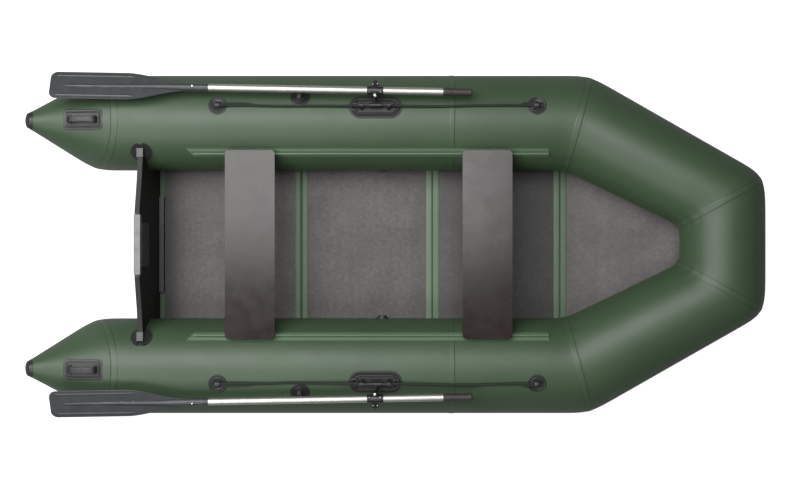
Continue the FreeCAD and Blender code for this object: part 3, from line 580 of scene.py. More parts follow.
def floor_finish(name, tint):
    """Film-faced ply with a wire mesh print: a square net in relief, streaks and rubbed patches, a darker band
    at the aft end and darker boards from the middle forward.
    """
    made = plain_finish(name, tint, 0.42, 0.22, 7.0, IOR=1.5)
    tree = made.node_tree
    parts = tree.nodes.new("ShaderNodeSeparateXYZ")
    link(tree, object_coordinates(made), parts.inputs[0])
    net = []
    for axis in ("X", "Y"):
        wave = maths(tree, "SINE", maths(tree, "MULTIPLY", parts.outputs[axis], 2 * math.pi / 0.0045))
        net.append(maths(tree, "POWER", maths(tree, "MULTIPLY_ADD", wave, 0.5, 0.5), 4.0))
    mesh_print = maths(tree, "MAXIMUM", *net)
    bump(made, mesh_print, 0.00035, 0.8)
    streaks = placed_group(made, GROUPS["streaks"], Scale=42.0, Amount=0.35)["Factor"]
    multiply_tone(made, streaks)
    multiply_tone(made, maths(tree, "MULTIPLY_ADD", mesh_print, 0.30, 0.85))
    for scale, spread in ((55.0, 0.18), (150.0, 0.28)):
        mottle = placed_group(made, GROUPS["patches"], Scale=scale, Low=1 - spread, High=1 + spread)["Value"]
        multiply_tone(made, mottle)
    darker_aft = tree.nodes.new("ShaderNodeMapRange")
    darker_aft.interpolation_type = "SMOOTHSTEP"
    link(tree, parts.outputs["X"], darker_aft.inputs["Value"])
    darker_aft.inputs["From Min"].default_value = -1.03
    darker_aft.inputs["From Max"].default_value = -0.93
    darker_aft.inputs["To Min"].default_value = 0.12
    darker_aft.inputs["To Max"].default_value = 1.0
    multiply_tone(made, darker_aft.outputs[0])
    # The boards are made darker from X -0.10 forward, by up to 55 percent, as far as the bow board at X 0.75.
    darker_mid_forward = tree.nodes.new("ShaderNodeMapRange")
    darker_mid_forward.interpolation_type = "SMOOTHSTEP"
    link(tree, parts.outputs["X"], darker_mid_forward.inputs["Value"])
    darker_mid_forward.inputs["From Min"].default_value = -0.10
    darker_mid_forward.inputs["From Max"].default_value = 0.50
    darker_mid_forward.inputs["To Min"].default_value = 0.0
    darker_mid_forward.inputs["To Max"].default_value = 0.55
    before_bow = maths(tree, "LESS_THAN", parts.outputs["X"], 0.75)
    multiply_tone(made, maths(tree, "SUBTRACT", 1.0, maths(tree, "MULTIPLY", darker_mid_forward.outputs[0], before_bow)))
    return made


def film_finish(name, tint, roughness):
    """Smooth phenolic film on ply: glossy, with faint grain telegraphing through and roller streaks."""
    made = plain_finish(name, tint, roughness, 0.18, 6.0, IOR=1.43, Coat_Weight=0.06, Coat_Roughness=0.2)
    streaks = placed_group(made, GROUPS["streaks"], Scale=60.0, Amount=0.3)["Factor"]
    multiply_tone(made, streaks)
    bump(made, streaks, 0.0001, 0.05)
    return made


def moulded_finish(name, tint, roughness, grain=380.0, **sockets):
    """Moulded plastic or rubber with a fine pebbled grain."""
    made = plain_finish(name, tint, roughness, 0.15, 24.0, **sockets)
    pebbles = placed_group(made, GROUPS["patches"], Scale=grain, Low=0.0, High=1.0)["Value"]
    bump(made, pebbles, 0.0002, 0.35)
    return made


def metal_finish(name, tint, roughness):
    """Drawn or plated metal with faint marks."""
    made = plain_finish(name, tint, roughness, 0.08, 40.0, Metallic=1.0)
    marks = placed_group(made, GROUPS["patches"], Scale=260.0, Low=0.0, High=1.0)["Value"]
    bump(made, marks, 0.00004, 0.1)
    return made


GROUPS = {}
FINISHES = {}


def make_finishes(colours):
    """Builds the shared groups, then every material of the boat."""
    GROUPS.update(patches=patches_group(), threads=threads_group(), streaks=streaks_group())
    FINISHES.update(
        hull_fabric=fabric_finish("Hull fabric", colours.hull, 0.46),
        seam_tape=tape_finish("Seam tape", colours.hull, 0.44),
        bottom_fabric=fabric_finish("Bottom fabric", colours.bottom, 0.55),
        strip_fabric=fabric_finish("Strip fabric", colours.strip, 0.45),
        rail_fabric=fabric_finish("Rail fabric", colours.strip, 0.42),
        floor_ply=floor_finish("Floor film", colours.floor),
        seat_ply=film_finish("Seat film", colours.seat, 0.20),
        transom_ply=plain_finish("Transom film", colours.transom, 0.6, 0.3, 30.0),
        grey_plastic=moulded_finish("Grey plastic", colours.grey, 0.5),
        black_plastic=moulded_finish("Black plastic", colours.black, 0.34),
        black_rubber=moulded_finish("Black rubber", colours.rubber, 0.46),
        slider_plastic=moulded_finish("Slider plastic", colours.slider, 0.5),
        rope=plain_finish("Rope", colours.rope, 0.75, 0.35, 160.0),
        oar_aluminium=metal_finish("Oar aluminium", colours.shaft, 0.50),
        blade_plastic=moulded_finish("Blade plastic", colours.blade, 0.4, 520.0),
        grip_rubber=moulded_finish("Grip rubber", colours.grip, 0.55, 300.0),
        steel=metal_finish("Steel", colours.steel, 0.2),
        dark_cap=moulded_finish("Cap plastic", scaled(colours.grey, 0.45)[:3], 0.5),
    )


# Hull ----------------------------------------------------------------------------------------------


def port_rings(sizes, angle):
    """The rings the port tube is stretched between, from the cap seat by the seams to the bow middle."""
    out, up = np.sin(angle), np.cos(angle)
    level = np.array([0, 1.0, 0])

    def side_ring(x):
        return np.stack(
            [np.broadcast_to(x, out.shape), TUBE_AXIS[1] + TUBE_RADIUS * out,
             TUBE_AXIS[2] + TUBE_RADIUS * up],
            axis=-1,
        )

    seam_slope = (CONE_CROWN_X - CONE_FOOT_X) / (2 * TUBE_RADIUS)
    seam_centre = (CONE_CROWN_X + CONE_FOOT_X) / 2
    cone_seam = side_ring(seam_centre + TUBE_RADIUS * seam_slope * up)
    cone_way = unit(CAP_CENTRE - np.array([seam_centre, TUBE_AXIS[1], TUBE_AXIS[2]]))
    cone_up = np.cross(cone_way, level) * (1 if np.cross(cone_way, level)[2] > 0 else -1)
    cap_seat = CAP_CENTRE + CAP_RADIUS * (out[:, None] * level + up[:, None] * cone_up)
    side_corner = TUBE_AXIS + np.array([sizes.side_corner, 0, 0])
    bow_corner = BOW_AXIS + np.array([0, sizes.bow_corner, 0])
    side_way, quarter_way, bow_way = np.array([1.0, 0, 0]), unit(bow_corner - side_corner), -level
    halfway = side_way + quarter_way
    side_mitre = side_ring(
        side_corner[0] - TUBE_RADIUS * (out * halfway[1] + up * halfway[2]) / halfway[0]
    )
    halfway = quarter_way + bow_way

    def bow_ring(y):
        return np.stack(
            [BOW_AXIS[0] + BOW_RADIUS * out, np.broadcast_to(y, out.shape), BOW_AXIS[2] + BOW_RADIUS * up],
            axis=-1,
        )

    bow_mitre = bow_ring(bow_corner[1] - BOW_RADIUS * (out * halfway[0] + up * halfway[2]) / halfway[1])
    return [cap_seat, cone_seam, side_ring(RING_SEAM_X), side_mitre, bow_mitre, bow_ring(0.0)]


class HullSkin:
    """The whole tube as a grid: stations along it from port cap to starboard cap, points round it.

    Between two rings each point slides along a straight line. A bell curve along the stations then
    rounds the corners, and a row of small folds stands along the inside of each mitre.
    """

    def __init__(self, sizes):
        self.angle = turn(SIDE_SEGMENTS)
        rings = port_rings(sizes, self.angle)
        self.at, rows = [0], []
        for first, second in zip(rings, rings[1:]):
            steps = max(4, round(np.linalg.norm(second.mean(0) - first.mean(0)) / STATION_STEP))
            share = (np.arange(steps) / steps)[:, None, None]
            rows.append(first * (1 - share) + second * share)
            self.at.append(self.at[-1] + steps)
        port = np.vstack(rows)
        whole = np.vstack([port, rings[-1][None], (port * np.array([1.0, -1.0, 1.0]))[::-1]])
        self.last = len(whole) - 1
        reach = int(4 * sizes.softness)
        bell = np.exp(-0.5 * (np.arange(-reach, reach + 1) / sizes.softness) ** 2)
        before = whole[0] + (whole[0] - whole[1]) * np.arange(reach, 0, -1)[:, None, None]
        after = whole[-1] + (whole[-1] - whole[-2]) * np.arange(1, reach + 1)[:, None, None]
        padded = np.concatenate([before, whole, after])
        smooth = sum(
            weight * padded[k : k + len(whole)] for k, weight in enumerate(bell / bell.sum())
        )
        self.points = self.folded(smooth, sizes.pucker)

    def folded(self, points, height):
        """Small folds: a wave round the inner side of each mitre that fades within a hand's width."""
        station = np.arange(len(points))[:, None]
        wave = np.zeros(points.shape[:2])
        inner = np.clip(-np.sin(self.angle), 0, 1) ** 2
        for mitre, count in ((self.at[3], 17), (self.at[4], 21)):
            for centre in (mitre, self.last - mitre):
                fade = np.exp(-0.5 * ((station - centre) / 2.2) ** 2)
                wave = wave + fade * np.cos(count * self.angle)[None] * inner[None]
        middle = points.mean(1, keepdims=True)
        return points + height * wave[..., None] * unit(points - middle)

    def between(self, station):
        """Points at stations that aren't whole numbers, on straight lines between neighbours."""
        low = np.clip(np.floor(station).astype(int), 0, self.last - 1)
        share = (station - low)[..., None]
        column = np.broadcast_to(np.arange(SIDE_SEGMENTS), station.shape)
        return self.points[low, column] * (1 - share) + self.points[low + 1, column] * share

    def tape(self, station, width, height):
        """A tape round the tube over one station: a band with eased edges and a back inside the fabric."""
        pace = np.linalg.norm(self.points[station + 1] - self.points[station - 1], axis=-1) / 2
        across = np.linspace(-1, 1, 13)
        band = self.between(station + across[:, None] * (width / 2) / pace[None])
        middle = self.points[station].mean(0)
        away = unit(band - middle)
        rise = height * (1 - np.abs(across) ** 8)
        front = band + away * rise[:, None, None]
        back = (band - away * 0.002)[::-1]
        mark = np.repeat(np.concatenate([across, across[::-1]]), SIDE_SEGMENTS)
        return hoop(np.vstack([front, back])), mark


class BOAT_OT_hull(bpy.types.Operator):
    """Tubes, cones, quarters and bow with their seam tapes"""

    bl_idname = "boat.hull"
    bl_label = "Hull tubes"

    def execute(self, context):
        sizes = context.scene.boat_sizes
        skin = HullSkin(sizes)
        at, last = skin.at, skin.last
        spans = {
            "stern_cone": (at[0], at[1]),
            "side_tube_aft": (at[1], at[2]),
            "side_tube_forward": (at[2], at[3]),
            "bow_quarter": (at[3], at[4]),
        }
        for piece, (start, end) in spans.items():
            rings = skin.points[start : end + 1]
            both_sides(
                piece + "_skin", [shell(rings)], "hull", FINISHES["hull_fabric"],
                ["{side}_" + piece], 60.0,
            )
        bow = skin.points[at[4] : last - at[4] + 1]
        add_piece(
            "bow_tube_skin", [shell(bow)], 1.0, "hull", FINISHES["hull_fabric"], ["bow_tube"],
            60.0,
        )
        seams = {
            "cone_seam": (at[1], 1.1), "ring_seam": (at[2], 0.85),
            "side_mitre": (at[3], 1.0), "bow_mitre": (at[4], 1.0),
        }
        for piece, (station, share) in seams.items():
            band, mark = skin.tape(station, sizes.tape_width * share, sizes.tape_height)
            both_sides(
                piece + "_tape", [band], "hull", FINISHES["seam_tape"], (), 60.0, mark
            )
        return {"FINISHED"}


class BOAT_OT_cone_caps(bpy.types.Operator):
    """Rubber caps on the ends of the stern cones"""

    bl_idname = "boat.cone_caps"
    bl_label = "Cone caps"

    def execute(self, context):
        seam_centre = np.array([(CONE_CROWN_X + CONE_FOOT_X) / 2, TUBE_AXIS[1], TUBE_AXIS[2]])
        way = unit(CAP_CENTRE - seam_centre)
        flare = (TUBE_RADIUS - CAP_RADIUS) / np.linalg.norm(CAP_CENTRE - seam_centre)
        proud = 0.0008
        skirt = 0.011
        sweep = np.linspace(0.25, math.pi / 2, 14)
        stations = [(-skirt, 0.030 + flare * skirt), (-skirt, CAP_RADIUS + flare * skirt + proud)]
        stations += [(-0.005, CAP_RADIUS + flare * 0.005 + proud), (0.0, CAP_RADIUS + proud)]
        dome = [(CAP_RADIUS * math.sin(a) * 0.42, (CAP_RADIUS + proud) * math.cos(a) + 0.0002) for a in sweep]
        both_sides(
            "cone_cap_rubber", [shell(lathe(CAP_CENTRE, way, stations + dome, 48))], "hull",
            FINISHES["black_rubber"], ["{side}_cone_cap"],
        )
        return {"FINISHED"}


class BOAT_OT_bottom(bpy.types.Operator):
    """Bottom fabric between the tubes, from the transom to the bow"""

    bl_idname = "boat.bottom"
    bl_label = "Bottom fabric"

    def execute(self, context):
        sizes = context.scene.boat_sizes
        low, high = corners("bottom_skin")
        thick = SKIN_TOP - low[2]
        rise_from = corners("floor_board_bow")[0][0]
        slope = math.tan(math.radians(10))
        start = TUBE_AXIS + np.array([sizes.side_corner, 0, 0])
        end = BOW_AXIS + np.array([0, sizes.bow_corner, 0])
        share = np.linspace(0, 1, 60)[:, None]
        axis = start + (end - start) * share
        radius = TUBE_RADIUS + (BOW_RADIUS - TUBE_RADIUS) * share[:, 0]
        level = unit((end - start)[:2])
        height = SKIN_TOP + np.clip(axis[:, 0] - rise_from, 0, None) * slope
        reach = np.sqrt(np.clip(radius**2 - (axis[:, 2] - height) ** 2, 0, None))
        meet = axis[:, :2] + reach[:, None] * np.array([level[1], -level[0]])
        flat_half = TUBE_AXIS[1] - math.sqrt(TUBE_RADIUS**2 - (TUBE_RADIUS - SKIN_TOP) ** 2)
        x = np.linspace(low[0], high[0] - 0.010, 150)
        half = np.minimum(np.interp(x, meet[:, 0], meet[:, 1]), flat_half) + 0.004
        across = np.linspace(-1, 1, 41)
        top = SKIN_TOP - 0.0004 + np.clip(x - rise_from, 0, None) * slope
        rings = []
        for drop, order in ((0.0, across), (thick, across[::-1])):
            sag = 0.006 * (1 - order**2) * (drop > 0)
            rings.append(
                np.stack(
                    [np.broadcast_to(x[:, None], (len(x), len(order))),
                     half[:, None] * order[None],
                     top[:, None] - drop - sag[None] * np.ones((len(x), 1))],
                    axis=-1,
                )
            )
        add_piece(
            "bottom_fabric", [shell(np.concatenate(rings, axis=1))], 1.0, "hull",
            FINISHES["bottom_fabric"], ["bottom_skin"],
        )
        return {"FINISHED"}


class BOAT_OT_floor(bpy.types.Operator):
    """Hinge strips between the floor boards: two low humps with a groove along the middle"""

    bl_idname = "boat.floor"
    bl_label = "Floor hinges"

    def execute(self, context):
        skins = []
        top = corners("floor_board_aft")[1][2]
        edges = [
            ("floor_board_aft", "floor_board_mid_aft"), ("floor_board_mid_aft", "floor_board_mid_forward"),
            ("floor_board_mid_forward", "floor_board_bow"),
        ]
        half = corners("floor_board_aft")[1][1]
        for behind, ahead in edges:
            start, end = corners(behind)[1][0] - 0.004, corners(ahead)[0][0] + 0.004
            share = np.linspace(0, 1, 41)
            hump = np.abs(np.sin(2 * np.pi * share)) ** 0.35
            groove = np.exp(-(((share - 0.5) / 0.035) ** 2)) * 0.0035
            ridge = 0.0009 * np.exp(-(((np.abs(share - 0.5) - 0.12) / 0.02) ** 2))
            over = top + 0.0002 + 0.0024 * hump - groove + ridge
            profile_x = np.concatenate([start + (end - start) * share, [end, start]])
            profile_z = np.concatenate([over, [SKIN_TOP, SKIN_TOP]])
            y = np.linspace(-half, half, 61)
            rings = np.stack(
                [np.broadcast_to(profile_x, (len(y), len(profile_x))),
                 np.broadcast_to(y[:, None], (len(y), len(profile_x))),
                 np.broadcast_to(profile_z, (len(y), len(profile_x)))],
                axis=-1,
            )
            skins.append(shell(rings))
        add_piece(
            "floor_hinge_fabric", skins, 1.0, "hull", FINISHES["strip_fabric"],
            ["floor_hinge_strips"], 50.0,
        )
        return {"FINISHED"}


class BOAT_OT_rails(bpy.types.Operator):
    """Seat rails: a strip glued round the tube, a web and a bead for the sliders"""

    bl_idname = "boat.rails"
    bl_label = "Seat rails"

    def execute(self, context):
        sizes = context.scene.boat_sizes
        low, high = corners("port_transom_holder")
        holder = on_side_tube((low[0] + high[0]) / 2, -math.radians(41))
        disc = [(0.0, -0.0010), (0.0, 0.0012), (0.0020, 0.0024), (0.0300, 0.0024)]
        half = (high[0] - low[0]) / 2 - 0.0004
        both_sides(
            "transom_holder_base", [shell(pad(holder, half, half, half, disc, 72))], "hull",
            FINISHES["black_rubber"], (),
        )
        low, high = corners("port_seat_rail")
        place = on_side_tube(0.0, -sizes.rail_angle)
        half = 0.0225
        slant = 0.030
        web_height = 0.0095
        across = np.linspace(-half, half, 25)
        ridge = 0.0012 * np.exp(-(((np.abs(across) - 0.011) / 0.002) ** 2))
        x = np.linspace(0, 1, 90)
        skins = []
        aft = low[0] + slant * (across - across[0]) / (2 * half)
        start = aft[::-1]
        along = start[None] + (high[0] - start[None]) * x[:, None]
        front = place.lay(along, across[None] * np.ones((len(x), 1)), 0.0022 + ridge[None])
        back = place.lay(along, across[None] * np.ones((len(x), 1)), -0.0010)[:, ::-1]
        skins.append(shell(np.concatenate([front, back], axis=1)))
        bead_x = np.linspace(low[0] + slant, high[0], 80)
        centre = place.lay(bead_x, 0.0, web_height)
        skins.append(shell(round_bar(centre, 0.0045, 16)))
        web = np.array([(-0.0015, 0.001), (0.0015, 0.001), (0.0015, web_height), (-0.0015, web_height)])
        skins.append(shell(np.stack([place.lay(bead_x, a, h) for a, h in web], axis=1)))
        both_sides(
            "seat_rail_strip", skins, "hull", FINISHES["rail_fabric"], ["{side}_seat_rail"]
        )
        return {"FINISHED"}


# Grab lines ----------------------------------------------------------------------------------------

# Points that each line was laid over, from its aft end to its forward end.
GRAB_LINES = {
    "port_grab_line_aft": [
        (-0.733, 0.5909, 0.4205), (-0.652, 0.5924, 0.4158), (-0.546, 0.5892, 0.4144),
        (-0.440, 0.5874, 0.4148), (-0.335, 0.5892, 0.4156), (-0.232, 0.5879, 0.4224),
        (-0.140, 0.5891, 0.4279),
    ],
    "port_grab_line_forward": [
        (-0.012, 0.5891, 0.4279), (0.080, 0.5881, 0.4226), (0.184, 0.5858, 0.4159),
        (0.292, 0.5889, 0.4144), (0.400, 0.5910, 0.4138), (0.516, 0.5923, 0.4154),
        (0.597, 0.5909, 0.4205),
    ],
    "starboard_grab_line_aft": [
        (-0.733, -0.5909, 0.4205), (-0.650, -0.5886, 0.4164), (-0.544, -0.5920, 0.4138),
        (-0.440, -0.5866, 0.4154), (-0.338, -0.5882, 0.4162), (-0.232, -0.5898, 0.4224),
        (-0.140, -0.5891, 0.4279),
    ],
    "starboard_grab_line_forward": [
        (-0.012, -0.5891, 0.4279), (0.080, -0.5922, 0.4219), (0.186, -0.5952, 0.4136),
        (0.294, -0.5970, 0.4122), (0.402, -0.5943, 0.4130), (0.516, -0.5900, 0.4160),
        (0.597, -0.5909, 0.4205),
    ],
}


def line_points(curve, step):
    """Points that far apart down the middle of a curve object's spline."""
    bare = bpy.data.objects.new("bare_line", curve.data.copy())
    bare.data.bevel_depth = 0.0
    mesh = bpy.data.meshes.new_from_object(bare)
    points = np.zeros(len(mesh.vertices) * 3, np.float32)
    mesh.vertices.foreach_get("co", points)
    bpy.data.meshes.remove(mesh)
    bpy.data.curves.remove(bare.data)
    points = points.reshape(-1, 3).astype(float)
    along = np.concatenate([[0], np.cumsum(np.linalg.norm(np.diff(points, axis=0), axis=1))])
    at = np.linspace(0, along[-1], max(8, round(along[-1] / step)))
    return np.stack([np.interp(at, along, points[:, k]) for k in range(3)], axis=1), at


def plait(path, at, radius, pitch, strands):
    """Strands of a plaited rope: flat ribbons that wind both ways and pass over and under each other."""
    along = unit(np.gradient(path, axis=0))
    across = unit(np.cross(along, np.array([0, 0, 1.0])))
    up = np.cross(across, along)
    skins = []
    ring = turn(8)
    for way in (1, -1):
        over = way * 0.07 * radius * np.cos(2 * strands * np.pi * at / pitch)
        for strand in range(strands):
            angle = way * 2 * np.pi * at / pitch + 2 * np.pi * strand / strands
            outward_way = np.cos(angle)[:, None] * across + np.sin(angle)[:, None] * up
            middle = path + (0.80 * radius + over)[:, None] * outward_way
            run = unit(np.gradient(middle, axis=0))
            beside = unit(np.cross(run, outward_way))
            rings = (
                middle[:, None]
                + 0.40 * radius * np.cos(ring)[None, :, None] * beside[:, None]
                + 0.16 * radius * np.sin(ring)[None, :, None] * outward_way[:, None]
            )
            skins.append(shell(rings))
    return skins


class BOAT_OT_grab_lines(bpy.types.Operator):
    """Plaited grab lines from eye to oarlock and on to the next eye"""

    bl_idname = "boat.grab_lines"
    bl_label = "Grab lines"

    def execute(self, context):
        sizes = context.scene.boat_sizes
        for name, points in GRAB_LINES.items():
            data = bpy.data.curves.new(name + "_core", "CURVE")
            data.dimensions = "3D"
            spline = data.splines.new("NURBS")
            spline.points.add(len(points) - 1)
            spline.points.foreach_set("co", np.hstack([points, np.ones((len(points), 1))]).ravel())
            spline.order_u = 3
            spline.use_endpoint_u = True
            spline.resolution_u = 12
            data.bevel_depth = 0.78 * sizes.rope / 2
            data.bevel_resolution = 4
            data.use_fill_caps = True
            data.materials.append(FINISHES["rope"])
            core = bpy.data.objects.new(name + "_core", data)
            context.scene.collection.objects.link(core)
            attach(core, "hull")
            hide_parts(name)
            path, at = line_points(core, 0.0016)
            strands = add_piece(
                name + "_plait", plait(path, at, sizes.rope / 2, sizes.plait_pitch, sizes.plaits),
                1.0, "hull", FINISHES["rope"], (), 60.0,
            )
            end = name.rsplit("_", 1)[1]
            tail = self.tail(context, name, path, at, end == "aft")
        return {"FINISHED"}

    def tail(self, context, name, path, at, aft):
        """The end of the line, led back beside it from the eye: a rope that thins to its end."""
        radius = context.scene.boat_sizes.rope / 2
        reach = 0.150 if aft else 0.060
        if aft:
            chosen = at < reach
            near, distance = path[chosen], at[chosen]
        else:
            chosen = at > at[-1] - reach
            near, distance = path[chosen][::-1], (at[-1] - at[chosen])[::-1]
        share = distance / reach
        side = np.sign(path[0][1])
        beside = np.array([0, side * 0.0085, -0.0012])
        spread = (0.55 + 0.45 * ease(share * 6)) * (1 - 0.45 * ease((share - 0.6) / 0.4))
        run = near + beside * spread[:, None]
        twist = 1 + 0.09 * np.sin(2 * np.pi * distance / 0.0075)
        radii = 0.74 * radius * twist * (1 - 0.45 * ease((share - 0.75) / 0.25))
        return add_piece(
            name + "_tail", [shell(round_bar(run, radii, 16))], 1.0, "hull", FINISHES["rope"], (),
            60.0,
        )


class BOAT_OT_eyes(bpy.types.Operator):
    """Grab line eyes: a ringed rubber disc with an arched lug over the line"""

    bl_idname = "boat.eyes"
    bl_label = "Grab line eyes"

    def execute(self, context):
        sizes = context.scene.boat_sizes
        layers = [
            (0.0, -0.0015), (0.0, 0.0012), (0.0014, 0.0030), (0.0040, 0.0034), (0.0058, 0.0022),
            (0.0095, 0.0020), (0.0110, 0.0044), (0.0135, 0.0054), (0.0162, 0.0046), (0.0190, 0.0030),
            (0.0260, 0.0026), (0.0330, 0.0040), (0.0385, 0.0042),
        ]
        for end in ("aft", "forward"):
            low, high = corners("port_grab_line_eye_" + end)
            middle = (low + high) / 2
            place = on_side_tube(middle[0], math.radians(16.5))
            skins = [shell(pad(place, sizes.eye_radius, sizes.eye_radius, sizes.eye_radius, layers, 72))]
            arch = np.linspace(-0.1, math.pi + 0.1, 30)
            path = place.lay(0.0, 0.0125 * np.cos(arch), 0.0035 + 0.0140 * np.sin(arch))
            ring = turn(20)
            fatness = 1 - 0.25 * np.abs(np.cos(arch)) ** 4
            away = unit(path - place.up(0, 0, 0.004))
            rings = (
                path[:, None]
                + 0.0135 * np.cos(ring)[None, :, None] * place.along * fatness[:, None, None]
                + 0.0036 * np.sin(ring)[None, :, None] * away[:, None]
            )
            skins.append(shell(rings))
            for way in (-1, 1):
                cheek = np.linspace(0, 1, 10)
                centre = place.lay(way * (0.010 + 0.016 * cheek), 0.0 * cheek, 0.003 + 0.004 * (1 - cheek))
                for offset in (-0.0115, 0.0115):
                    lip = centre + offset * (1 - 0.35 * cheek)[:, None] * place.across
                    skins.append(shell(round_bar(lip, 0.0036 * (1 - 0.6 * cheek), 12)))
            both_sides(
                f"grab_line_eye_{end}_rubber", skins, "hull", FINISHES["black_rubber"],
                ["{side}_grab_line_eye_" + end],
            )
        return {"FINISHED"}


# Oarlocks and oars ---------------------------------------------------------------------------------


# Distances along the oar from its clamp, towards the blade.
GRIP_END = -0.410
GRIP_ROOT = -0.286
SOCKET_MOUTH = 0.704
BLADE_ROOT = 0.802
BLADE_REACH = 0.572


class OarGear:
    """Where the oarlock's bar, its pin and the oar lie on the port side, read from the frame's hinges."""

    def __init__(self, sizes):
        self.bar = joint_line("port_oar_tilt")[1]
        sweep_axis, self.pin = joint_line("port_oar_sweep")
        feather_axis, self.shaft = joint_line("port_oar_feather")
        self.pin_way = sweep_axis if sweep_axis[2] > 0 else -sweep_axis
        self.oar_way = feather_axis if feather_axis[0] < 0 else -feather_axis
        self.out_way = unit(np.cross(self.oar_way, self.pin_way))
        if self.out_way[1] < 0:
            self.out_way = -self.out_way
        self.forward = np.array([1.0, 0, 0])
        self.base = on_side_tube(self.bar[0], sizes.lock_angle)

    def oar_point(self, along, out=0.0, up=0.0):
        """A point along the oar from the clamp towards the blade, outboard of its axis and above it."""
        along, out, up = np.broadcast_arrays(
            *(np.asarray(value, float) for value in (along, out, up))
        )
        return (
            self.shaft + along[..., None] * self.oar_way + out[..., None] * self.out_way
            + up[..., None] * self.pin_way
        )

    def oar_place(self, along=0.0, out=0.0, up=0.0):
        """A flat spot beside the oar: along it, outboard and up."""
        return Place(self.oar_point(along, out, up), self.oar_way, self.out_way, self.pin_way, 9.0)


def hex_nut(start, axis, radius, height):
    """A six-sided nut with a low dome on its bolt's end."""
    axis = unit(axis)
    across = unit(np.cross(axis, np.array([1.0, 0.03, 0])))
    up = np.cross(axis, across)
    angle = turn(48)
    flat = radius * math.cos(math.pi / 6) / np.cos((angle + math.pi / 6) % (math.pi / 3) - math.pi / 6)
    ring = np.cos(angle)[:, None] * across + np.sin(angle)[:, None] * up
    levels = ((0.0, 0.97), (0.0006, 1.0), (height - 0.0008, 1.0), (height, 0.92))
    body = [start + rise * axis + flat[:, None] * share * ring for rise, share in levels]
    dome = [
        (height - 0.0004, radius * 0.55), (height + 0.0018, radius * 0.55),
        (height + 0.0026, radius * 0.42), (height + 0.0029, radius * 0.15),
    ]
    return [shell(np.stack(body)), shell(lathe(start, axis, dome, 24))]


